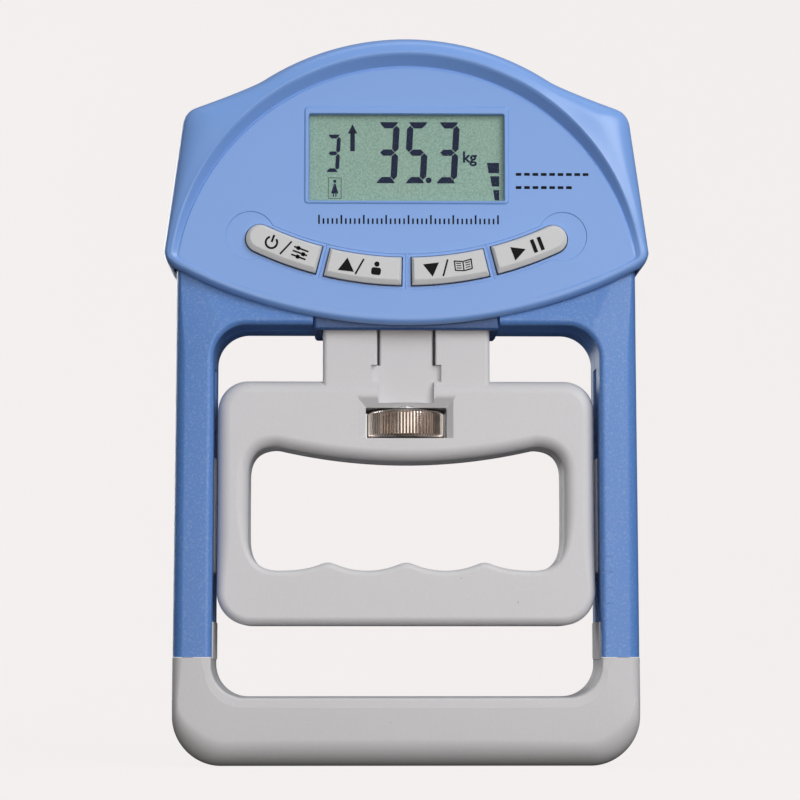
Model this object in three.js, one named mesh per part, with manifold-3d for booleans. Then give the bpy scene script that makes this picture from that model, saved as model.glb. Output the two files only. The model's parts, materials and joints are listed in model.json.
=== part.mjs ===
// Electronic hand dynamometer: a stand-up grip frame with a display head, and an inner handle on a screw.
// Millimetres. X runs to the right, Z up, and the display faces -Y.
// The origin is under the middle of the base.
import * as THREE from 'three';
import { mergeVertices } from 'three/addons/utils/BufferGeometryUtils.js';
import Module from 'manifold-3d';

const wasm = await Module();
wasm.setup();

// ---------------------------------------------------------------- driving dimensions

const GAP = 0.3; // between pieces that touch
const HALF_GAP = GAP / 2;
const WALL = 2;

// Head: an arched top, sloping shoulders, flaring flanks and a bowed lower edge.
const HEAD_TOP = 190.5;
const ARCH_RADIUS = 68.6;
const ARCH_CENTRE = HEAD_TOP - ARCH_RADIUS;
const ARCH_END_ANGLE = 0.993;
const LOWER_RADIUS = 131;
const LOWER_CENTRE = 245;
const LOWER_HALF_ANGLE = 0.471;
const FACE_FRONT = -15.4;
const FACE_WALL = 1.6;
const HEAD_BACK = 16;
const BACK_WALL = 1.8;

// Frame: two arms joined by a web under the head, and a U-shaped grip at the bottom.
const ARM_OUTER = 60.5;
const ARM_INNER = 50.3;
const FRAME_HALF_DEPTH = 12.5;
const FRAME_ROUND = 4;
const FRAME_TOP_RADIUS = LOWER_RADIUS - 10;
const WINDOW_TOP = 114.4;
const WINDOW_TOP_CORNER = 8.5;
const JOINT_HEIGHT = 28;
const GRIP_BAR_TOP = 17.7;
const GRIP_OUTER_CORNER = 12.5;
const GRIP_INNER_CORNER = 8.6;
const SLOT_HALF_WIDTH = 4.3;
const SLOT_BOTTOM = 34;
const SLOT_TOP = 104;

// Inner handle and its neck.
const HANDLE_HALF_WIDTH = 49.3;
const HANDLE_BOTTOM = 36.2;
const HANDLE_TOP = 100.1;
const HANDLE_TOP_CORNER = 7.9;
const HANDLE_BOTTOM_CORNER = 8.9;
const HANDLE_HALF_DEPTH = 9.6;
const HANDLE_ROUND = 3.2;
const HOLE_HALF_WIDTH = 41.1;
const HOLE_SHOULDER = 82.8;
const HOLE_SHOULDER_HALF_WIDTH = 33.8;
const HOLE_TOP = 78.9;
const FINGER_VALLEY = 50.4;
const FINGER_CREST = 52.5;
const FINGER_PITCH = 20.4;
const NECK_HALF_WIDTH = 21.9;
const NECK_HALF_DEPTH = 8.8;
const NECK_TOP = 127;
const RIB_HALF_WIDTH = 7;
const SLIT_WIDTH = 0.8;
const SLIT_BOTTOM = 105;

// Span adjustment: a knurled knob on a captive screw, which runs in a threaded tube.
const KNOB_RADIUS = 10.3;
const KNOB_BOTTOM = 86.2;
const KNOB_HEIGHT = 6.4;
const KNOB_RIDGES = 54;
const SCREW_RADIUS = 2.9;
const TUBE_RADIUS = 4.8;
const TUBE_BORE = SCREW_RADIUS + GAP;
const KNOB_WINDOW_HALF_WIDTH = 10.6;
const KNOB_WINDOW = [85.8, 93];
const WASHER_TOP = 94.1;
const WASHER_RADIUS = 8.3;
const SCREW_BOTTOM = 84.4;
const SCREW_TOP = 122.4;

// Push buttons: four caps between two arcs about one centre.
const BUTTON_CENTRE = 230.8;
const BUTTON_INNER_RADIUS = 98;
const BUTTON_OUTER_RADIUS = 105.3;
const BUTTON_FRONT = -16;
const BUTTON_BACK = -13.6;
const BUTTON_CLEARANCE = 0.35;
const BUTTON_INNER_SPAN = [0.013, 0.206];
const BUTTON_OUTER_SPAN = [0.228, 0.389];

// Display.
const DISPLAY_HALF_WIDTH = 25.55;
const DISPLAY_BOTTOM = 146.8;
const DISPLAY_TOP = 169.8;

// Circuit board and load path inside the head.
const BOARD_FRONT = -10.9;
const BOARD_BACK = -9.4;
const BOARD_HALF_WIDTH = 44;
const BOARD_TOP = 172;
const BOARD_LOWER_RADIUS = FRAME_TOP_RADIUS - 2.5;
const CROSSHEAD_BOTTOM = 132.5;
const CROSSHEAD_TOP = 138.5;
const CROSSHEAD_SCREW_HEIGHT = (CROSSHEAD_BOTTOM + CROSSHEAD_TOP) / 2;
const CROSSHEAD_HALF_WIDTH = 54.5;
const CELL_BOTTOM = CROSSHEAD_TOP + 0.4;
const CELL_TOP = CELL_BOTTOM + 8;
const CELL_LEFT = -36;
const CELL_RIGHT = 8;
const BEAM_HALF_DEPTH = 5;
const STRIP_INNER = 56;
const STRIP_OUTER = 58.4;
const CELL_SCREWS = [-32, -24];

// Batteries: two AAA cells, one above the other.
const CELL_RADIUS = 5.15;
const CELL_HALF_LENGTH = 21.5;
const CELL_TIP_RADIUS = 1.9;
const BATTERY_DEPTH = 8.7;
const BATTERY_HEIGHTS = [157, 168];
const TRAY_HALF_WIDTH = 28;
const TRAY_BOTTOM = 150.7;
const TRAY_TOP = 174.4;
const TRAY_FRONT = 2;
const TRAY_WALL = 0.9;
const DOOR_HALF_WIDTH = 28;
const DOOR_BOTTOM = 149.5;
const DOOR_TOP = 175.5;
const DOOR_INNER = 14.2;

// ---------------------------------------------------------------- solids

// A closed three.js geometry as a manifold solid.
function solid(geometry) {
  const bare = geometry.clone();
  bare.deleteAttribute('normal');
  bare.deleteAttribute('uv');
  const merged = mergeVertices(bare, 1e-4);
  return new wasm.Manifold(new wasm.Mesh({
    numProp: 3,
    vertProperties: new Float32Array(merged.attributes.position.array),
    triVerts: new Uint32Array(merged.index.array),
  }));
}

function geometryOf(manifold) {
  const mesh = manifold.getMesh();
  const geometry = new THREE.BufferGeometry();
  geometry.setAttribute('position', new THREE.BufferAttribute(new Float32Array(mesh.vertProperties), 3));
  geometry.setIndex(new THREE.BufferAttribute(new Uint32Array(mesh.triVerts), 1));
  return geometry;
}

function box(x, y, z) {
  const geometry = new THREE.BoxGeometry(x[1] - x[0], y[1] - y[0], z[1] - z[0]);
  geometry.translate((x[0] + x[1]) / 2, (y[0] + y[1]) / 2, (z[0] + z[1]) / 2);
  return solid(geometry);
}

// A shape as plain points, without the doubled points where an arc meets the next stretch.
function plain(shape, curveSegments) {
  const { shape: contour, holes } = shape.extractPoints(curveSegments);
  const thinned = (points) => points.filter((p, i) => p.distanceTo(points[(i + 1) % points.length]) > 0.01);
  const result = new THREE.Shape(thinned(contour));
  result.holes = holes.map((hole) => new THREE.Path(thinned(hole)));
  return result;
}

// An outline in X and Z, extruded along Y.
function prism(shape, front, back, curveSegments = 3) {
  const outline = plain(shape, curveSegments);
  const geometry = new THREE.ExtrudeGeometry(outline, { depth: back - front, bevelEnabled: false });
  geometry.rotateX(Math.PI / 2);
  geometry.translate(0, back, 0);
  return solid(geometry);
}

// The same, with its front and back edges rounded.
function roundedPrism(shape, front, back, round, curveSegments = 3) {
  const geometry = new THREE.ExtrudeGeometry(plain(shape, curveSegments), {
    depth: back - front - 2 * round,
    bevelThickness: round,
    bevelSize: round,
    bevelOffset: -round,
    bevelSegments: 2,
  });
  geometry.rotateX(Math.PI / 2);
  geometry.translate(0, back - round, 0);
  return solid(geometry);
}

// A profile of [radius, height] points turned about the vertical axis.
function turned(profile, segments = 16) {
  const points = profile.map(([radius, height]) => new THREE.Vector2(radius, height));
  const geometry = new THREE.LatheGeometry(points, segments);
  geometry.rotateX(Math.PI / 2);
  return solid(geometry);
}

function cylinderZ(radius, bottom, top, x = 0, y = 0, segments = 16) {
  return turned([[0, bottom], [radius, bottom], [radius, top], [0, top]], segments).translate([x, y, 0]);
}

function cylinderY(radius, front, back, x, z, segments = 12) {
  return cylinderZ(radius, -back, -front, 0, 0, segments).rotate([90, 0, 0]).translate([x, 0, z]);
}

function cylinderX(radius, left, right, y, z, segments = 12) {
  return cylinderZ(radius, left, right, 0, 0, segments).rotate([0, 90, 0]).translate([0, y, z]);
}

function mirrored(manifold) {
  return manifold.add(manifold.mirror([1, 0, 0]));
}

// A round wire along hand-set points.
function wire(points, radius, steps) {
  const path = new THREE.CatmullRomCurve3(points.map((p) => new THREE.Vector3(...p)));
  const section = new THREE.Shape().absarc(0, 0, radius, 0, 2 * Math.PI);
  const options = { extrudePath: path, steps, curveSegments: 4, bevelEnabled: false };
  return solid(new THREE.ExtrudeGeometry(section, options));
}

// ---------------------------------------------------------------- outlines

function rectangle(left, right, bottom, top, lowerCorner = 0, upperCorner = lowerCorner) {
  const shape = new THREE.Shape();
  const quarter = Math.PI / 2;
  shape.moveTo(left + lowerCorner, bottom);
  shape.lineTo(right - lowerCorner, bottom);
  if (lowerCorner) shape.absarc(right - lowerCorner, bottom + lowerCorner, lowerCorner, -quarter, 0);
  shape.lineTo(right, top - upperCorner);
  if (upperCorner) shape.absarc(right - upperCorner, top - upperCorner, upperCorner, 0, quarter);
  shape.lineTo(left + upperCorner, top);
  if (upperCorner) shape.absarc(left + upperCorner, top - upperCorner, upperCorner, quarter, 2 * quarter);
  shape.lineTo(left, bottom + lowerCorner);
  if (lowerCorner) {
    shape.absarc(left + lowerCorner, bottom + lowerCorner, lowerCorner, 2 * quarter, 3 * quarter);
  }
  return shape;
}

// The head's outline, drawn in by inset all round.
function headOutline(inset) {
  const down = 1.5 * Math.PI;
  const flankLow = [63.6 - inset, 133.4];
  const flankHigh = [59.1 - inset, 166.4];
  const cornerPull = [58.8 - inset, 170.7 - inset];
  const shoulder = [55.4 - 0.8 * inset, 171.9 - inset];
  const shoulderPull = [40.2 - 0.5 * inset, 177.5 - 0.9 * inset];
  const lowPull = [62.9 - inset, 129.6 + 0.5 * inset];
  const arch = ARCH_RADIUS - inset;
  const shape = new THREE.Shape();
  shape.absarc(0, LOWER_CENTRE, LOWER_RADIUS - inset, down - LOWER_HALF_ANGLE, down + LOWER_HALF_ANGLE);
  shape.quadraticCurveTo(lowPull[0], lowPull[1], flankLow[0], flankLow[1]);
  shape.lineTo(flankHigh[0], flankHigh[1]);
  shape.quadraticCurveTo(cornerPull[0], cornerPull[1], shoulder[0], shoulder[1]);
  shape.quadraticCurveTo(shoulderPull[0], shoulderPull[1],
    arch * Math.cos(ARCH_END_ANGLE), ARCH_CENTRE + arch * Math.sin(ARCH_END_ANGLE));
  shape.absarc(0, ARCH_CENTRE, arch, ARCH_END_ANGLE, Math.PI - ARCH_END_ANGLE);
  shape.quadraticCurveTo(-shoulderPull[0], shoulderPull[1], -shoulder[0], shoulder[1]);
  shape.quadraticCurveTo(-cornerPull[0], cornerPull[1], -flankHigh[0], flankHigh[1]);
  shape.lineTo(-flankLow[0], flankLow[1]);
  const lower = LOWER_RADIUS - inset;
  shape.quadraticCurveTo(-lowPull[0], lowPull[1],
    -lower * Math.sin(LOWER_HALF_ANGLE), LOWER_CENTRE - lower * Math.cos(LOWER_HALF_ANGLE));
  return shape;
}

// The area below an arc about the lower edge's centre, down to a level.
function areaUnderArc(halfWidth, bottom, radius, lowerCorner = 0) {
  const down = 1.5 * Math.PI;
  const half = Math.asin(halfWidth / radius);
  const quarter = Math.PI / 2;
  const shape = new THREE.Shape();
  shape.moveTo(lowerCorner - halfWidth, bottom);
  shape.lineTo(halfWidth - lowerCorner, bottom);
  if (lowerCorner) shape.absarc(halfWidth - lowerCorner, bottom + lowerCorner, lowerCorner, -quarter, 0);
  shape.absarc(0, LOWER_CENTRE, radius, down + half, down - half, true);
  shape.lineTo(-halfWidth, bottom + lowerCorner);
  if (lowerCorner) {
    shape.absarc(lowerCorner - halfWidth, bottom + lowerCorner, lowerCorner, 2 * quarter, 3 * quarter);
  }
  return shape;
}

// The handle's finger hole, with inset added all round. Its lower edge has a hollow for each finger.
function fingerHole(inset) {
  const side = HOLE_HALF_WIDTH + inset;
  const valley = FINGER_VALLEY - inset;
  const crest = FINGER_CREST - inset;
  const shoulder = HOLE_SHOULDER + inset;
  const centre = HOLE_TOP + inset;
  const shape = new THREE.Shape();
  shape.moveTo(-side, 59);
  shape.quadraticCurveTo(-side, valley, -1.62 * FINGER_PITCH, valley);
  shape.quadraticCurveTo(-1.2 * FINGER_PITCH, valley, -FINGER_PITCH, crest);
  for (let finger = -1; finger < 1; finger += 1) {
    const pull = 2 * valley - crest;
    shape.quadraticCurveTo((finger + 0.5) * FINGER_PITCH, pull, (finger + 1) * FINGER_PITCH, crest);
  }
  shape.quadraticCurveTo(1.2 * FINGER_PITCH, valley, 1.62 * FINGER_PITCH, valley);
  shape.quadraticCurveTo(side, valley, side, 59);
  shape.lineTo(side, 75.5);
  shape.quadraticCurveTo(side, shoulder, HOLE_SHOULDER_HALF_WIDTH, shoulder);
  shape.quadraticCurveTo(0, 2 * centre - shoulder, -HOLE_SHOULDER_HALF_WIDTH, shoulder);
  shape.quadraticCurveTo(-side, shoulder, -side, 75.5);
  return shape;
}

// A button's outline between two angles from straight down, grown by margin.
// A round end closes the outer ones.
function buttonOutline(span, side, roundEnd, margin) {
  const down = 1.5 * Math.PI;
  const inner = BUTTON_INNER_RADIUS - margin;
  const outer = BUTTON_OUTER_RADIUS + margin;
  const near = down + side * (span[0] - margin / BUTTON_INNER_RADIUS);
  const far = down + side * (span[1] + (roundEnd ? 0 : margin / BUTTON_INNER_RADIUS));
  const shape = new THREE.Shape();
  shape.absarc(0, BUTTON_CENTRE, outer, near, far, side < 0);
  if (roundEnd) {
    const middle = (inner + outer) / 2;
    const x = middle * Math.cos(far);
    const z = BUTTON_CENTRE + middle * Math.sin(far);
    shape.absarc(x, z, (outer - inner) / 2, far, far + side * Math.PI, side < 0);
  }
  shape.absarc(0, BUTTON_CENTRE, inner, far, near, side > 0);
  return shape;
}

const BUTTONS = [
  { name: 'button_power', span: BUTTON_OUTER_SPAN, side: -1, roundEnd: true },
  { name: 'button_up', span: BUTTON_INNER_SPAN, side: -1, roundEnd: false },
  { name: 'button_down', span: BUTTON_INNER_SPAN, side: 1, roundEnd: false },
  { name: 'button_start', span: BUTTON_OUTER_SPAN, side: 1, roundEnd: true },
];

// ---------------------------------------------------------------- materials and the group

const plastic = (color, roughness) => new THREE.MeshStandardMaterial({ color, roughness, metalness: 0 });
const metal = (color, roughness) => new THREE.MeshStandardMaterial({ color, roughness, metalness: 1 });

const glossBlue = plastic('#86a9e0', 0.25);
const satinBlue = plastic('#6f98d8', 0.5);
const grey = plastic('#b9bcc0', 0.6);
const buttonGrey = plastic('#d3d1cb', 0.5);
const clear = plastic('#ffffff', 0.1);
clear.transparent = true;
clear.opacity = 0.3;
const displayGreen = plastic('#a5bda0', 0.4);
const black = plastic('#1c1c1e', 0.6);
const boardGreen = plastic('#1f5c3a', 0.5);
const steel = metal('#b8babd', 0.35);
const nickel = metal('#a79f90', 0.3);
const aluminium = metal('#c8cacc', 0.4);
const batterySkin = plastic('#3c4a50', 0.4);
const red = plastic('#b02a24', 0.5);

const dynamometer = new THREE.Group();

function place(name, manifold, material) {
  const mesh = new THREE.Mesh(geometryOf(manifold), material);
  mesh.name = name;
  dynamometer.add(mesh);
}

const FRONT_HALF = box([-80, 80], [-30, -HALF_GAP], [-10, 220]);
const BACK_HALF = box([-80, 80], [HALF_GAP, 30], [-10, 220]);

// ---------------------------------------------------------------- fasteners

const HEAD_SCREWS = [[-52, 151], [52, 151], [-33, 176.2], [33, 176.2]];
const ARM_SCREWS = [[-53.2, 108.5], [53.2, 108.5]];
const GRIP_SCREWS = [[-36, 6.6], [36, 6.6]];
const HANDLE_SCREWS = [[-44.8, 92], [44.8, 92], [-43, 42.5], [43, 42.5]];
const SCREW_HEAD_RADIUS = 2.4;
const SCREW_HEAD_HEIGHT = 1.5;
const SCREW_SHANK_RADIUS = 1;
const SLIM_BOSS_RADIUS = 2.4;
const BOSS_RADIUS = 3.4;

// A pan-head screw along Y with a cross recess. Its head faces +Y.
function crossScrew(x, headBack, z, length) {
  const headFront = headBack - SCREW_HEAD_HEIGHT;
  const profile = [
    [0, headFront - length],
    [SCREW_SHANK_RADIUS, headFront - length + 1],
    [SCREW_SHANK_RADIUS, headFront],
    [SCREW_HEAD_RADIUS, headFront],
    [SCREW_HEAD_RADIUS, headBack - 0.5],
    [SCREW_HEAD_RADIUS - 0.8, headBack],
    [0, headBack],
  ];
  const blank = turned(profile, 10).rotate([-90, 0, 0]);
  const depth = [headBack - 0.8, headBack + 1];
  const recess = box([-1.4, 1.4], depth, [-0.3, 0.3]).add(box([-0.3, 0.3], depth, [-1.4, 1.4]));
  return blank.subtract(recess).translate([x, 0, z]);
}

// The room for a screw: a counterbore for its head and a hole for its shank.
function screwRoom(x, face, headBack, z, length) {
  const seat = headBack - SCREW_HEAD_HEIGHT;
  return cylinderY(SCREW_HEAD_RADIUS + GAP, seat - GAP, face + 1, x, z)
    .add(cylinderY(SCREW_SHANK_RADIUS + GAP, seat - length - 1, seat, x, z, 10));
}

// ---------------------------------------------------------------- head covers

const frameRoom = prism(areaUnderArc(ARM_OUTER + GAP, 90, FRAME_TOP_RADIUS - GAP),
  -FRAME_HALF_DEPTH - GAP, FRAME_HALF_DEPTH + GAP, 5);
const headBody = roundedPrism(headOutline(0), FACE_FRONT, HEAD_BACK, 1.6, 5).subtract(frameRoom);
const headHollow = prism(headOutline(WALL), FACE_FRONT + FACE_WALL, HEAD_BACK - BACK_WALL, 5);
const HEAD_SCREW_HEAD = 15.7;
const HEAD_PAD = 12.2;
const HEAD_SCREW_LENGTH = 10;

function headCoverFront() {
  let cover = headBody.subtract(headHollow).intersect(FRONT_HALF);
  for (const [x, z] of HEAD_SCREWS) {
    cover = cover.add(cylinderY(SLIM_BOSS_RADIUS, FACE_FRONT + 1, HEAD_PAD - GAP, x, z));
  }
  for (const [x, z] of HEAD_SCREWS) {
    cover = cover.subtract(screwRoom(x, HEAD_BACK, HEAD_SCREW_HEAD, z, HEAD_SCREW_LENGTH));
  }
  for (const { span, side, roundEnd } of BUTTONS) {
    const hole = buttonOutline(span, side, roundEnd, BUTTON_CLEARANCE);
    cover = cover.subtract(prism(hole, FACE_FRONT - 1, FACE_FRONT + FACE_WALL + 1));
  }
  const displayHole = rectangle(-DISPLAY_HALF_WIDTH - GAP, DISPLAY_HALF_WIDTH + GAP,
    DISPLAY_BOTTOM - GAP, DISPLAY_TOP + GAP);
  return cover.subtract(prism(displayHole, FACE_FRONT - 1, FACE_FRONT + FACE_WALL + 1));
}

function headCoverBack() {
  let cover = headBody.subtract(headHollow).intersect(BACK_HALF);
  const doorway = rectangle(-DOOR_HALF_WIDTH - GAP, DOOR_HALF_WIDTH + GAP, DOOR_BOTTOM - GAP, DOOR_TOP + GAP);
  cover = cover.subtract(prism(doorway, DOOR_INNER - 1, HEAD_BACK + 1));
  for (const [x, z] of HEAD_SCREWS) {
    cover = cover.add(cylinderY(BOSS_RADIUS, HEAD_PAD, HEAD_BACK - 1, x, z));
  }
  for (const [x, z] of HEAD_SCREWS) {
    cover = cover.subtract(screwRoom(x, HEAD_BACK, HEAD_SCREW_HEAD, z, HEAD_SCREW_LENGTH));
  }
  return cover;
}

place('head_cover_front', headCoverFront(), glossBlue);
place('head_cover_back', headCoverBack(), satinBlue);

// ---------------------------------------------------------------- frame shells and bottom grip

// The frame and the grip together, as one ring around the window.
function frameRing() {
  const outline = areaUnderArc(ARM_OUTER, 0, FRAME_TOP_RADIUS, GRIP_OUTER_CORNER);
  const hole = rectangle(-ARM_INNER, ARM_INNER, GRIP_BAR_TOP, WINDOW_TOP,
    GRIP_INNER_CORNER, WINDOW_TOP_CORNER);
  return roundedPrism(outline, -FRAME_HALF_DEPTH, FRAME_HALF_DEPTH, FRAME_ROUND)
    .subtract(prism(hole, -20, 20));
}

function frameHollow() {
  const outline = rectangle(WALL - ARM_OUTER, ARM_OUTER - WALL, WALL, 150, GRIP_OUTER_CORNER - WALL, 0);
  outline.holes.push(rectangle(-ARM_INNER - WALL, ARM_INNER + WALL, GRIP_BAR_TOP - WALL, WINDOW_TOP + WALL,
    GRIP_INNER_CORNER, WINDOW_TOP_CORNER));
  return prism(outline, WALL - FRAME_HALF_DEPTH, FRAME_HALF_DEPTH - WALL);
}

const COLLAR_HALF_WIDTH = 24.3;
const COLLAR_BOTTOM = 112.6;
const COLLAR_TOP = 118.4;
const ARM_SCREW_HEAD = 11.4;
const ARM_SCREW_LENGTH = 12;

const hollowRing = frameRing().subtract(frameHollow());
const guideSlots = mirrored(box([ARM_INNER - 1, ARM_INNER + WALL + 0.5],
  [-SLOT_HALF_WIDTH, SLOT_HALF_WIDTH], [SLOT_BOTTOM, SLOT_TOP]));
const collarRoom = box([-COLLAR_HALF_WIDTH - GAP, COLLAR_HALF_WIDTH + GAP], [-20, 20],
  [110, COLLAR_TOP + GAP]);
const aboveJoint = box([-80, 80], [-30, 30], [JOINT_HEIGHT + HALF_GAP, 150]);
const belowJoint = box([-80, 80], [-30, 30], [-10, JOINT_HEIGHT - HALF_GAP]);

function withBosses(shell, places, front, back, radius) {
  return places.reduce((all, [x, z]) => all.add(cylinderY(radius, front, back, x, z, 12)), shell);
}

function withoutScrews(shell, places, face, headBack, length) {
  return places.reduce((all, [x, z]) => all.subtract(screwRoom(x, face, headBack, z, length)), shell);
}

const SHELL_FLOOR = FRAME_HALF_DEPTH - 1;

function frameShell(half, front, back) {
  const left = ARM_OUTER - WALL - 1;
  const crossheadScrewRoom = mirrored(cylinderX(3.2, left, ARM_OUTER + 1, 0, CROSSHEAD_SCREW_HEIGHT));
  const shell = hollowRing.subtract(guideSlots).subtract(collarRoom).subtract(crossheadScrewRoom)
    .intersect(aboveJoint).intersect(half);
  return withoutScrews(withBosses(shell, ARM_SCREWS, front, back, SLIM_BOSS_RADIUS),
    ARM_SCREWS, FRAME_HALF_DEPTH, ARM_SCREW_HEAD, ARM_SCREW_LENGTH);
}

function bottomGrip(half, front, back) {
  const shell = hollowRing.intersect(belowJoint).intersect(half);
  return withoutScrews(withBosses(shell, GRIP_SCREWS, front, back, BOSS_RADIUS),
    GRIP_SCREWS, FRAME_HALF_DEPTH, ARM_SCREW_HEAD, ARM_SCREW_LENGTH);
}

place('frame_front_shell', frameShell(FRONT_HALF, -SHELL_FLOOR, -HALF_GAP), satinBlue);
place('frame_back_shell', frameShell(BACK_HALF, HALF_GAP, SHELL_FLOOR), satinBlue);
place('bottom_grip_front', bottomGrip(FRONT_HALF, -SHELL_FLOOR, -HALF_GAP), grey);
place('bottom_grip_back', bottomGrip(BACK_HALF, HALF_GAP, SHELL_FLOOR), grey);

function neckCollar() {
  const depth = FRAME_HALF_DEPTH - HALF_GAP;
  const block = box([-COLLAR_HALF_WIDTH, COLLAR_HALF_WIDTH], [-depth, depth],
    [COLLAR_BOTTOM, COLLAR_TOP]);
  const passage = NECK_HALF_WIDTH + GAP;
  const passageDepth = NECK_HALF_DEPTH + GAP;
  return block.subtract(box([-passage, passage], [-passageDepth, passageDepth], [100, 130]));
}

place('neck_collar', neckCollar(), satinBlue);

// ---------------------------------------------------------------- load path

const STRIP_BOTTOM = 11.6;
const SCREW_HOLE_RADIUS = 1.8;
const STRIP_THICKNESS = STRIP_OUTER - STRIP_INNER;

// A steel strip bent to a U. It runs down both arms and through the grip.
function tensionStrip() {
  const top = CROSSHEAD_TOP;
  const outer = rectangle(-STRIP_OUTER, STRIP_OUTER, STRIP_BOTTOM, top, 5, 0);
  const inner = rectangle(-STRIP_INNER, STRIP_INNER, STRIP_BOTTOM + STRIP_THICKNESS, top + 5, 3, 0);
  const depth = BEAM_HALF_DEPTH - 1;
  const holes = mirrored(cylinderX(SCREW_HOLE_RADIUS, STRIP_INNER - 1, STRIP_OUTER + 1, 0,
    CROSSHEAD_SCREW_HEIGHT));
  return prism(outer, -depth, depth).subtract(prism(inner, -depth - 1, depth + 1)).subtract(holes);
}

function cellScrewHoles(bottom, top) {
  return CELL_SCREWS.map((x) => cylinderZ(SCREW_HOLE_RADIUS, bottom, top, x, 0, 12));
}

function crosshead() {
  const depth = BEAM_HALF_DEPTH;
  const beam = box([-CROSSHEAD_HALF_WIDTH, CROSSHEAD_HALF_WIDTH], [-depth, depth],
    [CROSSHEAD_BOTTOM, CROSSHEAD_TOP]);
  const endHoles = mirrored(cylinderX(SCREW_HOLE_RADIUS, CROSSHEAD_HALF_WIDTH - 8,
    CROSSHEAD_HALF_WIDTH + 1, 0, CROSSHEAD_SCREW_HEIGHT));
  const tubeHole = cylinderZ(TUBE_RADIUS + GAP / 2, CROSSHEAD_BOTTOM - 1, CROSSHEAD_TOP + 1);
  const cellHoles = cellScrewHoles(CROSSHEAD_BOTTOM - 1, CROSSHEAD_TOP + 1);
  return cellHoles.reduce((all, hole) => all.subtract(hole), beam.subtract(endHoles).subtract(tubeHole));
}

// A bending-beam load cell with a dumbbell-shaped hole through its middle.
function loadCell() {
  const depth = BEAM_HALF_DEPTH - 0.5;
  const middle = (CELL_BOTTOM + CELL_TOP) / 2;
  const beam = box([CELL_LEFT, CELL_RIGHT], [-depth, depth], [CELL_BOTTOM, CELL_TOP]);
  const dumbbell = cylinderY(2.9, -20, 20, -16, middle)
    .add(cylinderY(2.9, -20, 20, -8, middle))
    .add(box([-16, -8], [-20, 20], [middle - 0.8, middle + 0.8]));
  const boltHole = cylinderZ(TUBE_BORE, CELL_BOTTOM - 1, CELL_TOP + 1);
  const screwHoles = cellScrewHoles(CELL_BOTTOM - 1, CELL_TOP + 1);
  return screwHoles.reduce((all, hole) => all.subtract(hole), beam.subtract(dumbbell).subtract(boltHole));
}

const CAP_HEAD_HEIGHT = 2;

// A socket-head screw along Z, with its head up.
function capScrew(x, seat, length, radius = 1.5) {
  const head = 2 * radius * 0.95;
  const profile = [
    [0, seat - length],
    [radius, seat - length],
    [radius, seat],
    [head, seat],
    [head, seat + CAP_HEAD_HEIGHT],
    [0, seat + CAP_HEAD_HEIGHT],
  ];
  const socket = cylinderZ(radius * 0.8, seat + 0.8, seat + 3, 0, 0, 6);
  return turned(profile, 12).subtract(socket).translate([x, 0, 0]);
}

const TUBE_BOTTOM = 98.7;
const TUBE_TOP = CROSSHEAD_TOP - 0.3;
const BOLT_SEAT = CELL_TOP + 0.8;

function pullTube() {
  return cylinderZ(TUBE_RADIUS, TUBE_BOTTOM, TUBE_TOP)
    .subtract(cylinderZ(TUBE_BORE, TUBE_BOTTOM - 1, TUBE_TOP + 1, 0, 0, 20));
}

function crossheadScrew(side) {
  const screw = capScrew(0, STRIP_OUTER + GAP, 9, 1.5).rotate([0, 90, 0]);
  const placed = screw.translate([0, 0, CROSSHEAD_SCREW_HEIGHT]);
  return side > 0 ? placed : placed.mirror([1, 0, 0]);
}

place('tension_strip', tensionStrip(), steel);
place('crosshead', crosshead(), steel);
place('load_cell', loadCell(), aluminium);
place('pull_tube', pullTube(), steel);
place('load_bolt', capScrew(0, BOLT_SEAT, 16, SCREW_RADIUS), steel);
CELL_SCREWS.forEach((x, i) => place(`load_cell_screw_${i + 1}`, capScrew(x, CELL_TOP + GAP, 13), steel));

// ---------------------------------------------------------------- handle

const HANDLE_WALL = 1.9;
const HANDLE_SCREW_HEAD = 8.6;
const HANDLE_SCREW_LENGTH = 9;

function handleBody() {
  const outline = rectangle(-HANDLE_HALF_WIDTH, HANDLE_HALF_WIDTH, HANDLE_BOTTOM, HANDLE_TOP,
    HANDLE_BOTTOM_CORNER, HANDLE_TOP_CORNER);
  outline.holes.push(fingerHole(0));
  const neck = prism(rectangle(-NECK_HALF_WIDTH, NECK_HALF_WIDTH, HANDLE_TOP - 8, NECK_TOP, 0, 1.5),
    -NECK_HALF_DEPTH, NECK_HALF_DEPTH);
  return roundedPrism(outline, -HANDLE_HALF_DEPTH, HANDLE_HALF_DEPTH, HANDLE_ROUND, 4).add(neck);
}

// The room inside the handle's bars, its neck blocks and its middle rib.
function handleHollow() {
  const w = HANDLE_WALL;
  const outline = rectangle(w - HANDLE_HALF_WIDTH, HANDLE_HALF_WIDTH - w, HANDLE_BOTTOM + w, HANDLE_TOP - w,
    HANDLE_BOTTOM_CORNER - w, HANDLE_TOP_CORNER - w);
  outline.holes.push(fingerHole(w));
  const bars = prism(outline, w - HANDLE_HALF_DEPTH, HANDLE_HALF_DEPTH - w, 4);
  const core = box([-14, 14], [-20, 20], [60, 130]);
  const blocks = mirrored(box([RIB_HALF_WIDTH + SLIT_WIDTH + w, NECK_HALF_WIDTH - w],
    [w - NECK_HALF_DEPTH, NECK_HALF_DEPTH - w], [HANDLE_TOP - 3, NECK_TOP - w]));
  return bars.subtract(core).add(blocks);
}

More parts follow.
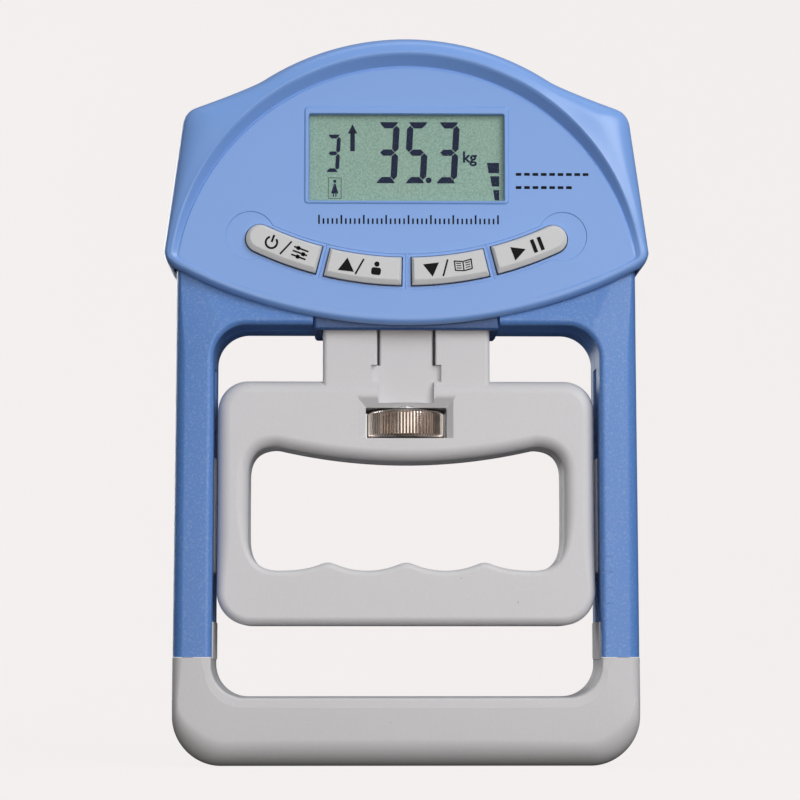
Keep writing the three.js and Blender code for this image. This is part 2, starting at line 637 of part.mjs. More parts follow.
// Everything that the screw, the tube, the knob and its washer need inside the handle.
function adjusterRoom() {
  const knob = KNOB_WINDOW_HALF_WIDTH;
  const slit = box([RIB_HALF_WIDTH, RIB_HALF_WIDTH + SLIT_WIDTH], [-20, 20], [SLIT_BOTTOM, 140]);
  return mirrored(slit)
    .add(box([-knob, knob], [-20, 20], KNOB_WINDOW))
    .add(cylinderZ(WASHER_RADIUS + GAP, KNOB_WINDOW[1] - 1, WASHER_TOP + GAP))
    .add(cylinderZ(TUBE_RADIUS + GAP, WASHER_TOP, 140))
    .add(cylinderZ(SCREW_RADIUS + GAP, SCREW_BOTTOM - 0.8, 90, 0, 0, 16));
}

function handleShell(half, front, back) {
  const shell = handleBody().subtract(handleHollow()).subtract(adjusterRoom()).intersect(half);
  return withoutScrews(withBosses(shell, HANDLE_SCREWS, front, back, BOSS_RADIUS),
    HANDLE_SCREWS, HANDLE_HALF_DEPTH, HANDLE_SCREW_HEAD, HANDLE_SCREW_LENGTH);
}

const HANDLE_FLOOR = HANDLE_HALF_DEPTH - 1;
place('handle_front', handleShell(FRONT_HALF, -HANDLE_FLOOR, -HALF_GAP), grey);
place('handle_back', handleShell(BACK_HALF, HALF_GAP, HANDLE_FLOOR), grey);

function thrustWasher() {
  return cylinderZ(WASHER_RADIUS, KNOB_BOTTOM + KNOB_HEIGHT + GAP, WASHER_TOP)
    .subtract(cylinderZ(SCREW_RADIUS + GAP, 90, 96, 0, 0, 16));
}

function knurledKnob() {
  const outline = new THREE.Shape();
  for (let i = 0; i < 2 * KNOB_RIDGES; i += 1) {
    const angle = (i * Math.PI) / KNOB_RIDGES;
    const radius = KNOB_RADIUS - (i % 2) * 0.35;
    if (i === 0) outline.moveTo(radius, 0);
    else outline.lineTo(radius * Math.cos(angle), radius * Math.sin(angle));
  }
  const blank = new THREE.ExtrudeGeometry(outline, { depth: KNOB_HEIGHT, bevelEnabled: false });
  blank.translate(0, 0, KNOB_BOTTOM);
  const bore = cylinderZ(SCREW_RADIUS + GAP, KNOB_BOTTOM - 1, KNOB_BOTTOM + KNOB_HEIGHT + 1);
  return solid(blank).subtract(bore);
}

const SHOE_BOTTOM = 49.8;
const SHOE_TOP = 80.2;

// A guide shoe on the handle's side, which runs in the arm's slot.
function guideShoe() {
  const width = SLOT_HALF_WIDTH - GAP;
  return box([HANDLE_HALF_WIDTH + GAP, ARM_INNER + WALL + 1.6], [-width, width], [SHOE_BOTTOM, SHOE_TOP]);
}

place('thrust_washer', thrustWasher(), steel);
place('adjust_knob', knurledKnob(), nickel);
place('adjust_screw', cylinderZ(SCREW_RADIUS, SCREW_BOTTOM, SCREW_TOP, 0, 0, 20), steel);
place('guide_shoe_left', guideShoe().mirror([1, 0, 0]), grey);
place('guide_shoe_right', guideShoe(), grey);

// ---------------------------------------------------------------- display and board

const displayMiddle = (DISPLAY_BOTTOM + DISPLAY_TOP) / 2;

function circuitBoard() {
  const area = areaUnderArc(BOARD_HALF_WIDTH, 90, BOARD_LOWER_RADIUS);
  const outline = rectangle(-BOARD_HALF_WIDTH, BOARD_HALF_WIDTH, 110, BOARD_TOP);
  const mountingHoles = mirrored(cylinderY(1.4, -20, 0, BOARD_HALF_WIDTH - 4, BOARD_TOP - 4, 10));
  return prism(outline, BOARD_FRONT, BOARD_BACK)
    .subtract(prism(area, BOARD_FRONT - 1, BOARD_BACK + 1, 4))
    .subtract(mountingHoles);
}

place('display_window', box([-DISPLAY_HALF_WIDTH, DISPLAY_HALF_WIDTH], [-14.8, -14.1],
  [DISPLAY_BOTTOM, DISPLAY_TOP]), clear);
place('lcd_cell', box([-27.5, 27.5], [-13.4, -12],
  [DISPLAY_BOTTOM - 1.5, DISPLAY_TOP + 1.2]), displayGreen);
place('zebra_strip', box([-24, 24], [-11.7, BOARD_FRONT - GAP],
  [DISPLAY_BOTTOM - 1, DISPLAY_BOTTOM + 0.8]), black);
place('circuit_board', circuitBoard(), boardGreen);
place('controller_chip', box([-7, 7], [BOARD_BACK + GAP, BOARD_BACK + 2],
  [displayMiddle - 7, displayMiddle + 7]), black);

// Each button cap, with a tactile switch behind its middle.
for (const { name, span, side, roundEnd } of BUTTONS) {
  const cap = prism(buttonOutline(span, side, roundEnd, 0), BUTTON_FRONT, BUTTON_BACK);
  place(name, cap, buttonGrey);
  const angle = 1.5 * Math.PI + (side * (span[0] + span[1])) / 2;
  const radius = (BUTTON_INNER_RADIUS + BUTTON_OUTER_RADIUS) / 2;
  const x = radius * Math.cos(angle);
  const z = BUTTON_CENTRE + radius * Math.sin(angle);
  const body = box([x - 3, x + 3], [-12.3, BOARD_FRONT - GAP], [z - 1.8, z + 1.8]);
  place(name.replace('button', 'switch'), body.add(cylinderY(1.2, -12.8, -12, x, z, 12)), black);
}

// ---------------------------------------------------------------- batteries

function batteryTray() {
  const back = DOOR_INNER - GAP;
  const tray = box([-TRAY_HALF_WIDTH, TRAY_HALF_WIDTH], [TRAY_FRONT, back],
    [TRAY_BOTTOM, TRAY_TOP]);
  const room = box([TRAY_WALL - TRAY_HALF_WIDTH, TRAY_HALF_WIDTH - TRAY_WALL],
    [TRAY_FRONT + TRAY_WALL, back + 1], [TRAY_BOTTOM + TRAY_WALL, TRAY_TOP - TRAY_WALL]);
  return tray.subtract(room);
}

// An AAA cell along X. Its positive end points to side.
function batteryCell(height, side) {
  const length = CELL_HALF_LENGTH;
  const tip = length + 0.8;
  const profile = [
    [0, -length],
    [CELL_RADIUS, -length],
    [CELL_RADIUS, length],
    [CELL_TIP_RADIUS, length],
    [CELL_TIP_RADIUS, tip],
    [0, tip],
  ];
  const cell = turned(profile, 20).rotate([0, side * 90, 0]);
  return cell.translate([0, BATTERY_DEPTH, height]);
}

// A contact plate at one end of the tray, with a coil spring where a cell's flat end sits.
function contactPlate(side, heights, springHeights) {
  const turns = 3;
  const outer = TRAY_HALF_WIDTH - TRAY_WALL - GAP;
  const inner = outer - 0.5;
  const plate = box([inner, outer], [BATTERY_DEPTH - 4, BATTERY_DEPTH + 4],
    [heights[0] - 4, heights[1] + 4]);
  const spring = springHeights.map((height) => {
    const points = [];
    for (let i = 0; i <= turns * 6; i += 1) {
      const angle = (i * Math.PI) / 3;
      const radius = 3.1 - i * 0.06;
      const along = inner + 0.2 - (i / (turns * 6)) * 3.9;
      points.push([along, BATTERY_DEPTH + radius * Math.cos(angle), height + radius * Math.sin(angle)]);
    }
    return wire(points, 0.3, turns * 8);
  });
  const contact = spring.reduce((all, coil) => all.add(coil), plate);
  return side > 0 ? contact : contact.mirror([1, 0, 0]);
}

place('battery_tray', batteryTray(), black);
BATTERY_HEIGHTS.forEach((height, i) => {
  place(`battery_${i + 1}`, batteryCell(height, i ? -1 : 1), batterySkin);
});
place('contact_link', contactPlate(-1, BATTERY_HEIGHTS, [BATTERY_HEIGHTS[0]]), nickel);
place('contact_positive', contactPlate(1, [BATTERY_HEIGHTS[0], BATTERY_HEIGHTS[0]], []), nickel);
place('contact_negative', contactPlate(1, [BATTERY_HEIGHTS[1], BATTERY_HEIGHTS[1]],
  [BATTERY_HEIGHTS[1]]), nickel);

function batteryDoor() {
  const outline = rectangle(-DOOR_HALF_WIDTH, DOOR_HALF_WIDTH, DOOR_BOTTOM, DOOR_TOP, 1.5);
  const panel = prism(outline, DOOR_INNER, HEAD_BACK);
  const thumb = rectangle(-7, 7, DOOR_TOP - 5, DOOR_TOP - 2, 1.4);
  const thumbRecess = prism(thumb, HEAD_BACK - 0.8, HEAD_BACK + 1);
  return panel.subtract(thumbRecess);
}

place('battery_door', batteryDoor(), satinBlue);

// ---------------------------------------------------------------- wiring inside the head

const LEAD_RADIUS = 0.6;
const CELL_CABLE_RADIUS = 0.8;
const RED_LEAD = [[31, 8, 157], [34, 4, 155], [35, -3, 150], [34, -8, 146]];
const BLACK_LEAD = [[31, 8, 168], [36, 4, 165], [38, -3, 158], [37, -8, 152]];
const CELL_CABLE = [[-12, -5.4, 145], [-16, -6.6, 149], [-24, -7.6, 152], [-30, -8.2, 150]];
place('battery_lead_red', wire(RED_LEAD, LEAD_RADIUS, 12), red);
place('battery_lead_black', wire(BLACK_LEAD, LEAD_RADIUS, 12), black);
place('load_cell_cable', wire(CELL_CABLE, CELL_CABLE_RADIUS, 12), black);

// ---------------------------------------------------------------- screws that close the shells

const screwSets = [
  { name: 'head_screw', places: HEAD_SCREWS, head: HEAD_SCREW_HEAD, length: HEAD_SCREW_LENGTH },
  { name: 'arm_screw', places: ARM_SCREWS, head: ARM_SCREW_HEAD, length: ARM_SCREW_LENGTH },
  { name: 'grip_screw', places: GRIP_SCREWS, head: ARM_SCREW_HEAD, length: ARM_SCREW_LENGTH },
  { name: 'handle_screw', places: HANDLE_SCREWS, head: HANDLE_SCREW_HEAD, length: HANDLE_SCREW_LENGTH },
];
for (const { name, places, head, length } of screwSets) {
  places.forEach(([x, z], i) => place(`${name}_${i + 1}`, crossScrew(x, head, z, length), steel));
}
place('crosshead_screw_left', crossheadScrew(-1), steel);
place('crosshead_screw_right', crossheadScrew(1), steel);

export default dynamometer;
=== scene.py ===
"""The looks of an electronic hand dynamometer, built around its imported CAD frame."""

import json
import math

import bmesh
import bpy
import numpy as np
from mathutils import Matrix, Vector

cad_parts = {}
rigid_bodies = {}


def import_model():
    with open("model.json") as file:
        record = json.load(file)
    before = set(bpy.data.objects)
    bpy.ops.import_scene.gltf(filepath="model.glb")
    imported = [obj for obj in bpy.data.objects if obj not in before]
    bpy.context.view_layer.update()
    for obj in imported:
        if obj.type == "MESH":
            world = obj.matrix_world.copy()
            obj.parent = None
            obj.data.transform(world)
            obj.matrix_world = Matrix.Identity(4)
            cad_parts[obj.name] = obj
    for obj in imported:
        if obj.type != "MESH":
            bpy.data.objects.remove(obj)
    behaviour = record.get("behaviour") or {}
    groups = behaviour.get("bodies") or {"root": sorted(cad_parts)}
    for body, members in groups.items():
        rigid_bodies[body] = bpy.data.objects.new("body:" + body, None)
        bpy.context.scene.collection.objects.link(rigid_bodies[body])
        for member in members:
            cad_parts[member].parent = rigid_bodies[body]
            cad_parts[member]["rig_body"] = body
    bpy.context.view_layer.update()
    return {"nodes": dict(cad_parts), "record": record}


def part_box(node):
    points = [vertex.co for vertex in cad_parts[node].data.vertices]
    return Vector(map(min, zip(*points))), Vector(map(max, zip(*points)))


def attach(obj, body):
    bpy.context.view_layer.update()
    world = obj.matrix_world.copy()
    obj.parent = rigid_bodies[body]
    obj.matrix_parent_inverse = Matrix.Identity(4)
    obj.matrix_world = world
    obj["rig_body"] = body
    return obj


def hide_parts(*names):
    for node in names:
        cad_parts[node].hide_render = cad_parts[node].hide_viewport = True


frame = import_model()

# The script works in millimetres, and build() turns them into Blender's metres.
MM = 0.001
PARTING = 0.05  # half of the visible line between two shells
GAP = 0.3  # between a piece and the room made for it


def extent(node):
    """The lowest and highest corner of a CAD node, in millimetres."""
    low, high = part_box(node)
    return np.array(low) / MM, np.array(high) / MM


# ---- sizes from the frame

head_high = extent("head_cover_front")[1]
back_high = extent("head_cover_back")[1]
shell_low, shell_high = extent("frame_front_shell")
handle_low, handle_high = extent("handle_front")
collar_low, collar_high = extent("neck_collar")
glass_low, glass_high = extent("display_window")
cell_low, cell_high = extent("lcd_cell")
knob_low, knob_high = extent("adjust_knob")
door_low, door_high = extent("battery_door")
button_low, button_high = extent("button_up")

# Head. The crest is an arched ridge around a flat panel, and it fades out at the lower corners.
# A zone is the pair of heights between which something fades in.
HEAD_TOP = head_high[2]
HEAD_MIDDLE = np.array([0.0, 150.0])
HEAD_POINTS = 640
ARCH_RADIUS = 68.6
ARCH_END = 56.9
LOWER_CENTRE = np.array([0.0, 245.0])
LOWER_RADIUS = 131.0
LOWER_END = 27.0
PANEL_Y = -14.5
CREST_RISE = 2.3
CREST_LOW_RISE = 0.45
CREST_ZONE = (131, 168)
CREST_FADE_ZONE = (118, 133)
GROOVE_DEPTH = 0.4
GROOVE_ZONE = (126, 142)
BEAD_WIDTH = 0.7
BEAD_DROP = 0.3
BEAD_ZONE = (126, 140)
CREST_CENTRE = np.array([0.0, 124.2])
CREST_RADIUS = 62.0
PANEL_CENTRE = np.array([0.0, 121.7])
PANEL_RADIUS = 60.7
LOWER_ROUND = 2.4
FRONT_WALL_TOP = -11.4
HEAD_WALL = 2.2
HEAD_CEILING = -13.05
BACK_Y = back_high[1]
BACK_ROUND = 2.6
BORDER_RISE = 0.32
BORDER_BESIDE = 1.15
BORDER_BELOW = 0.75
BORDER_ABOVE = 1.95
ROUND_RECESS = (40.75, 137.5)
ROUND_RECESS_RADIUS = 6.3
ROUND_RECESS_DEPTH = 0.22
DOOR_GAP = 0.25

# Frame: two arms, the web under the head, and the bottom grip.
ARM_OUTER = shell_high[0]
ARM_WIDTH = 10.2
ARM_INNER = ARM_OUTER - ARM_WIDTH
ARM_TAPER = 0.15
FRAME_Y = -shell_low[1]
JOINT_Z = shell_low[2] - 0.15
GRIP_TOP = 17.7
GRIP_OUTER_CORNER = 12.5
GRIP_INNER_CORNER = 8.6
WINDOW_TOP = 114.4
WINDOW_CORNER = 8.5
FRAME_TOP_RADIUS = LOWER_RADIUS - 10
SLOT_HALF = 4.3
ARM_TILT = 1.7  # how much farther back the frame's front is along its outer edge
GRIP_TILT = 0.8
SLOT_Z = (34.0, 104.0)
SHELL_ROUND = 2.9
SHELL_WALL = 2.3
SCALE_TOP = 53.9
SCALE_PITCH = 4.02
SCALE_LENGTHS = (4.2, 2.6)
TONGUE_HALF = 9.5
TONGUE_RISE = 9.2
COLLAR_LIFT = 0.6  # how much higher than in CAD the collar's lower edge is

# Handle and its neck.
HANDLE_HALF = handle_high[0]
HANDLE_BOTTOM = handle_low[2]
HANDLE_HEIGHT = 63.9
HANDLE_TOP = HANDLE_BOTTOM + HANDLE_HEIGHT
HANDLE_Y = -handle_low[1]
HANDLE_CENTRE = np.array([0.0, 67.0])
HANDLE_TOP_CORNER = 7.9
HANDLE_BOTTOM_CORNER = 8.9
HANDLE_ROUND = 3.6
HOLE_ROUND = 3.3
LOWER_HOLE_ROUND = 1.6
HOLE_HALF = 41.1
HOLE_SHOULDER = np.array([33.8, 82.8])
HOLE_MIDDLE_TOP = 78.9
FINGER_VALLEY = 50.4
FINGER_CREST = 52.5
FINGER_PITCH = 20.4
CREST_HALF = 1.7
NECK_HALF = 21.9
NECK_Y = 8.8
NECK_TOP = handle_high[2]
RIB_HALF = 7.0
RIB_Y = 7.5
SLIT = 0.6
SLIT_BOTTOM = 104.1
NECK_ROUND = 1.3
KNOB_WINDOW_HALF = 10.6
KNOB_WINDOW_Z = (84.9, 93.0)
WINDOW_BEVEL = 1.3

# Buttons lie between two arcs about one centre.
BUTTON_CENTRE = np.array([0.0, 217.9])
BUTTON_INNER = 86.2
BUTTON_OUTER = 93.5
BUTTON_FRONT = button_low[1]
BUTTON_BACK = button_high[1]
BUTTON_MARGIN = 0.95  # how far the recess around a button reaches past it
BUTTON_RECESS_DEPTH = 0.14
INNER_SPAN = (0.015, 0.233)
OUTER_SPAN = (0.258, 0.44)
BUTTONS = [  # each with its span, its side, and whether its far end is round
    ("button_power", OUTER_SPAN, -1, True),
    ("button_up", INNER_SPAN, -1, False),
    ("button_down", INNER_SPAN, 1, False),
    ("button_start", OUTER_SPAN, 1, True),
]


# ---- outlines: arrays of [across, up]

def arc(centre, radius, start, end, count=24):
    """Points on an arc, with its angles in degrees."""
    angles = np.radians(np.linspace(start, end, count))
    return np.stack([centre[0] + radius * np.cos(angles), centre[1] + radius * np.sin(angles)], axis=1)


def bend(start, pull, end, count=16):
    """Points on a quadratic curve."""
    t = np.linspace(0, 1, count)[:, None]
    start, pull, end = np.array(start, float), np.array(pull, float), np.array(end, float)
    return (1 - t) ** 2 * start + 2 * t * (1 - t) * pull + t ** 2 * end


def joined(*stretches):
    """One closed outline from its stretches, with no doubled points."""
    points = np.concatenate(stretches)
    apart = np.linalg.norm(points - np.roll(points, -1, axis=0), axis=1)
    return points[apart > 0.01]


def mirrored(points):
    """The points mirrored left to right and put in reverse order."""
    return (points * [-1, 1])[::-1]


def box_outline(left, right, bottom, top, radius, steps=6):
    """A rounded rectangle, counter-clockwise."""
    centres = [(right - radius, bottom + radius), (right - radius, top - radius),
               (left + radius, top - radius), (left + radius, bottom + radius)]
    return joined(*[arc(c, radius, 90 * k - 90, 90 * k, steps) for k, c in enumerate(centres)])


def face_outline(low, high, margin, radius, steps=6):
    """A box's rounded outline from the front, grown by a margin."""
    return box_outline(low[0] - margin, high[0] + margin, low[2] - margin, high[2] + margin, radius, steps)


def bar(x, z, half_width, half_height, radius, steps):
    """A rounded rectangle about a centre."""
    return box_outline(x - half_width, x + half_width, z - half_height, z + half_height, radius, steps)


def circle(centre, radius, count=64):
    return arc(centre, radius, 0, 360 - 360 / count, count)


def counter_clockwise(outline):
    x, z = outline[:, 0], outline[:, 1]
    area = np.sum(x * np.roll(z, -1) - np.roll(x, -1) * z)
    return outline if area > 0 else outline[::-1]


def inset(outline, amount):
    """A counter-clockwise outline drawn in by an amount, which may differ from point to point."""
    edge = np.roll(outline, -1, axis=0) - outline
    out = np.stack([edge[:, 1], -edge[:, 0]], axis=1)
    out /= np.linalg.norm(out, axis=1, keepdims=True)
    mean = out + np.roll(out, 1, axis=0)
    mean /= np.linalg.norm(mean, axis=1, keepdims=True)
    mitre = np.clip(np.sum(mean * out, axis=1, keepdims=True), 0.4, 1)
    return outline - mean / mitre * np.reshape(amount, (-1, 1))


def dense(outline, step=0.3):
    """The outline with extra points along its long edges."""
    stretches = []
    for a, b in zip(outline, np.roll(outline, -1, axis=0)):
        count = max(1, math.ceil(np.linalg.norm(b - a) / step))
        stretches.append(a + (b - a) * (np.arange(count) / count)[:, None])
    return np.concatenate(stretches)


def polar(outline, centre, angles):
    """How far the outline is from a centre inside it, at each angle."""
    offset = dense(outline) - centre
    angle = np.arctan2(offset[:, 1], offset[:, 0])
    return np.interp(angles, angle, np.hypot(offset[:, 0], offset[:, 1]), period=2 * np.pi)


def reach(rays, origin, centre, radius):
    """How far each ray from an origin inside a circle goes to meet it."""
    offset = origin - centre
    along = rays @ offset
    return np.sqrt(along ** 2 - offset @ offset + radius ** 2) - along


def soft_min(a, b, softness=0.5):
    return -softness * np.log(np.exp(-a / softness) + np.exp(-b / softness))


def smooth_step(value, low, high):
    t = np.clip((value - low) / (high - low), 0, 1)
    return t * t * (3 - 2 * t)


# ---- meshes

def add(name, data):
    """A new object in the scene."""
    obj = bpy.data.objects.new(name, data)
    bpy.context.scene.collection.objects.link(obj)
    return obj


def build(name, points, faces):
    """A mesh object from points in millimetres, with its faces turned outward."""
    mesh = bpy.data.meshes.new(name)
    mesh.from_pydata((np.asarray(points) * MM).tolist(), [], faces)
    work = bmesh.new()
    work.from_mesh(mesh)
    bmesh.ops.remove_doubles(work, verts=work.verts, dist=0.002 * MM)
    bmesh.ops.recalc_face_normals(work, faces=work.faces)
    work.to_mesh(mesh)
    work.free()
    return add(name, mesh)


def skin(name, loops, closed=False):
    """A skin over loops of equally many points, capped at its ends or closed on itself."""
    count = len(loops[0])
    points = np.concatenate(loops)
    faces = []
    for k in range(len(loops) if closed else len(loops) - 1):
        a, b = k * count, (k + 1) % len(loops) * count
        for i in range(count):
            j = (i + 1) % count
            faces.append((a + i, a + j, b + j, b + i))
    if not closed:
        faces.append(tuple(range(count)))
        faces.append(tuple(range(len(points) - count, len(points))))
    return build(name, points, faces)


def at_y(outline, y):
    """An outline in X and Z, at a depth."""
    return np.column_stack([outline[:, 0], np.broadcast_to(y, len(outline)), outline[:, 1]])


def at_z(outline, z):
    """An outline in X and Y, at a height."""
    return np.column_stack([outline, np.broadcast_to(z, len(outline))])


def layered(name, *layers, closed=False):
    """A skin over layers, each an outline in X and Z and its depth."""
    return skin(name, [at_y(outline, y) for outline, y in layers], closed)


def plate(name, outline, front, back, chamfer=0.0):
    """An outline in X and Z extruded along Y, with chamfered edges."""
    if not chamfer:
        return layered(name, (outline, front), (outline, back))
    drawn_in = inset(outline, chamfer)
    return layered(name, (drawn_in, front), (outline, front + chamfer), (outline, back - chamfer),
                   (drawn_in, back))


def column(name, outline, bottom, top):
    """An outline in X and Y extruded along Z."""
    return skin(name, [at_z(outline, bottom), at_z(outline, top)])


def corners(x, z):
    """A plain rectangle, counter-clockwise."""
    return np.array([[x[0], z[0]], [x[1], z[0]], [x[1], z[1]], [x[0], z[1]]])


def brick(name, x, y, z):
    return plate(name, corners(x, z), *y)


def apply_modifiers(obj):
    bpy.context.view_layer.update()
    evaluated = obj.evaluated_get(bpy.context.evaluated_depsgraph_get())
    mesh = bpy.data.meshes.new_from_object(evaluated)
    obj.modifiers.clear()
    obj.data = mesh


def combine(obj, others, operation):
    """Joins other solids to an object, or cuts them out of it, and then removes them."""
    for other in others:
        modifier = obj.modifiers.new("combine", "BOOLEAN")
        modifier.operation = operation
        modifier.solver = "EXACT"
        modifier.object = other
    apply_modifiers(obj)
    for other in others:
        bpy.data.objects.remove(other)
    return obj


def cut(obj, *tools):
    return combine(obj, tools, "DIFFERENCE")


def join(obj, *others):
    return combine(obj, others, "UNION")


def mirror_copy(obj, name):
    """A copy mirrored front to back."""
    mesh = obj.data.copy()
    mesh.transform(Matrix.Scale(-1, 4, Vector((0, 1, 0))))
    mesh.flip_normals()
    return add(name, mesh)


def dress(obj, body, material, nodes=(), sharp=32):
    """Gives a piece its shading and material, says what it rides on, and hides the CAD nodes it stands for.
    """
    mesh = obj.data
    if not mesh.materials:
        mesh.materials.append(material)
    mesh.shade_smooth()
    mesh.set_sharp_from_angle(angle=math.radians(sharp))
    weighted = obj.modifiers.new("weighted", "WEIGHTED_NORMAL")
    weighted.keep_sharp = True
    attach(obj, body)
    if nodes:
        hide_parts(*nodes)


# ---- materials

def linear(red, green, blue):
    """An sRGB colour, 0 to 255, as linear light."""
    values = [c / 255 for c in (red, green, blue)]
    return [c / 12.92 if c <= 0.04045 else ((c + 0.055) / 1.055) ** 2.4 for c in values]


def map_range(nodes, links, source, *values):
    """A node that takes a source from one range to another: from its start and end, to low and high."""
    node = nodes.new("ShaderNodeMapRange")
    for name, value in zip(("From Min", "From Max", "To Min", "To Max"), values):
        node.inputs[name].default_value = value
    links.new(source, node.inputs["Value"])
    return node.outputs["Result"]


class Shader:
    """A node material with a Principled shader and a few short ways to feed it."""

    def __init__(self, name):
        self.material = bpy.data.materials.new(name)
        self.material.use_nodes = True
        self.nodes = self.material.node_tree.nodes
        self.links = self.material.node_tree.links
        self.principled = self.nodes["Principled BSDF"]
        self.place = self.nodes.new("ShaderNodeTexCoord").outputs["Object"]

    def set(self, **values):
        for name, value in values.items():
            self.principled.inputs[name.replace("_", " ")].default_value = value

    def noise(self, size, detail, stretch=(1, 1, 1)):
        """Noise whose features are about size millimetres, stretched along an axis."""
        mapping = self.nodes.new("ShaderNodeMapping")
        mapping.inputs["Scale"].default_value = [1 / (s * size * MM) for s in stretch]
        self.links.new(self.place, mapping.inputs["Vector"])
        noise = self.nodes.new("ShaderNodeTexNoise")
        noise.inputs["Scale"].default_value = 1
        noise.inputs["Detail"].default_value = detail
        noise.inputs["Roughness"].default_value = 0.55
        self.links.new(mapping.outputs["Vector"], noise.inputs["Vector"])
        return noise.outputs["Fac"]

    def spread(self, source, low, high, start=0.3, end=0.7):
        """A value from low to high as the source goes from start to end."""
        return map_range(self.nodes, self.links, source, start, end, low, high)

    def blend(self, factor, a, b):
        """Colours a and b, mixed by a factor. Each is a list or another node's output."""
        node = self.nodes.new("ShaderNodeMix")
        node.data_type = "RGBA"
        self.links.new(factor, node.inputs["Factor"])
        for name, colour in (("A", a), ("B", b)):
            socket = [s for s in node.inputs if s.name == name and s.type == "RGBA"][0]
            if isinstance(colour, (list, tuple)):
                socket.default_value = [*colour[:3], 1]
            else:
                self.links.new(colour, socket)
        return [s for s in node.outputs if s.type == "RGBA"][0]

    def colour(self, source):
        self.links.new(source, self.principled.inputs["Base Color"])

    def roughness(self, source):
        self.links.new(source, self.principled.inputs["Roughness"])

    def bump(self, source, depth):
        """A bump whose full height is depth millimetres. Bumps add up."""
        node = self.nodes.new("ShaderNodeBump")
        node.inputs["Distance"].default_value = depth * MM
        self.links.new(source, node.inputs["Height"])
        normal = self.principled.inputs["Normal"]
        if normal.is_linked:
            self.links.new(normal.links[0].from_socket, node.inputs["Normal"])
        self.links.new(node.outputs["Normal"], normal)


def plastic(name, colour, roughness, grain=0.24, depth=0.01, cloud=0.02, painted_glint=0.0, marks=0.0,
            specular=0.5):
    """Moulded plastic: faint clouds, a fine grain, painted glints as lighter specks in its colour, and a few
    tiny scuffs.
    """
    shader = Shader(name)
    shader.set(Specular_IOR_Level=specular, IOR=1.5)
    light = [min(1, c * (1 + cloud)) for c in colour]
    dark = [c * (1 - cloud) for c in colour]
    tone = shader.blend(shader.spread(shader.noise(25, 0), 0, 1, 0.1, 0.9), dark, light)
    fine = shader.noise(grain, 2)
    # Painted glints: lighter specks blended into the base colour.
    if painted_glint:
        painted_glint_mask = shader.spread(shader.noise(2.4 * grain, 1), 0, painted_glint, 0.5, 0.72)
        tone = shader.blend(painted_glint_mask, tone, [0.5 + 0.5 * c for c in colour])
    if marks:
        scuff = shader.spread(shader.noise(1.1, 1, (1, 1, 1.6)), 0, marks, 0.80, 0.83)
        tone = shader.blend(scuff, tone, [c * 0.45 for c in colour])
    shader.colour(tone)
    shader.roughness(shader.spread(shader.noise(16, 1), roughness * 0.97, roughness * 1.03, 0.2, 0.8))
    shader.bump(fine, depth)
    return shader.material


def metal(name, colour, roughness, stretch=(1, 1, 1), grain=0.4, depth=0.006):
    """Metal with brushed or blasted grain, tarnished a little in patches."""
    shader = Shader(name)
    shader.set(Metallic=1.0)
    tarnish = shader.spread(shader.noise(6, 4), 0, 1, 0.4, 0.75)
    shader.colour(shader.blend(tarnish, colour, [c * 0.78 for c in colour]))
    brushed = shader.noise(grain, 3, stretch)
    shader.roughness(shader.spread(brushed, roughness * 0.75, roughness * 1.25))
    shader.bump(brushed, depth)
    return shader.material


def lcd_material(name):
    """The grey-green reflective field of a liquid crystal display."""
    shader = Shader(name)
    shader.set(Specular_IOR_Level=0.12)
    speckle = shader.spread(shader.noise(0.5, 2), 0, 1, 0.35, 0.65)
    tone = shader.blend(speckle, linear(117, 153, 144), linear(149, 183, 173))
    slow = shader.spread(shader.noise(30, 1), 0, 0.3)
    shader.colour(shader.blend(slow, tone, linear(150, 177, 152)))
    shader.roughness(shader.spread(speckle, 0.4, 0.5, 0, 1))
    shader.bump(speckle, 0.002)
    return shader.material


def window_material(name):
    """Clear acrylic with a few fine wiping scratches."""
    shader = Shader(name)
    shader.set(Alpha=0.015, Specular_IOR_Level=0.5)
    haze = shader.noise(0.2, 2, (9, 1, 1))
    shader.colour(shader.blend(shader.spread(haze, 0, 1), [0.86, 0.9, 0.92], [0.95, 0.97, 1.0]))
    shader.roughness(shader.spread(haze, 0.03, 0.09))
    return shader.material


def board_material(name):
    """Green solder mask with lighter copper runs under it."""
    shader = Shader(name)
    runs = shader.spread(shader.noise(2.2, 0, (6, 1, 1)), 0, 1, 0.52, 0.56)
    shader.colour(shader.blend(runs, linear(22, 84, 48), linear(44, 122, 66)))
    shader.roughness(shader.spread(runs, 0.42, 0.3, 0, 1))
    shader.bump(runs, 0.03)
    return shader.material


def battery_material(name):
    """Dark printed film with a fine sheen variation."""
    shader = Shader(name)
    shader.set(Coat_Weight=0.4, Coat_Roughness=0.12)
    cloud = shader.spread(shader.noise(5, 3), 0, 1)
    shader.colour(shader.blend(cloud, linear(34, 40, 46), linear(46, 54, 60)))
    shader.roughness(shader.spread(shader.noise(0.8, 2), 0.24, 0.36))
    shader.bump(shader.noise(1.5, 2), 0.01)
    return shader.material


GLOSS_BLUE = plastic("gloss_blue", linear(121, 162, 227), 0.295, grain=0.4, depth=0.0015, cloud=0.006)
SATIN_BLUE = plastic("satin_blue", linear(83, 131, 201), 0.38, depth=0.02, cloud=0.015, painted_glint=0.14)
# Painted shade: the collar's blue is satin blue darkened for the shadow under the head.
SHADED_COLLAR_BLUE = plastic("collar_blue_painted_shade", linear(42, 78, 132), 0.5, depth=0.02, painted_glint=0.06)
GREY = plastic("grey_plastic", linear(204, 205, 209), 0.5, grain=0.26, depth=0.012, cloud=0.012, painted_glint=0.08,
               marks=0.7)
GRIP_GREY = plastic("grip_grey", linear(198, 199, 203), 0.52, grain=0.26, depth=0.012, cloud=0.015,
                    painted_glint=0.08, marks=0.7)
BUTTON_GREY = plastic("button_grey", linear(200, 203, 206), 0.42, grain=0.4, depth=0.003, cloud=0.01)
BLACK = plastic("black_plastic", linear(28, 28, 30), 0.5, grain=0.3, depth=0.01, cloud=0.15)
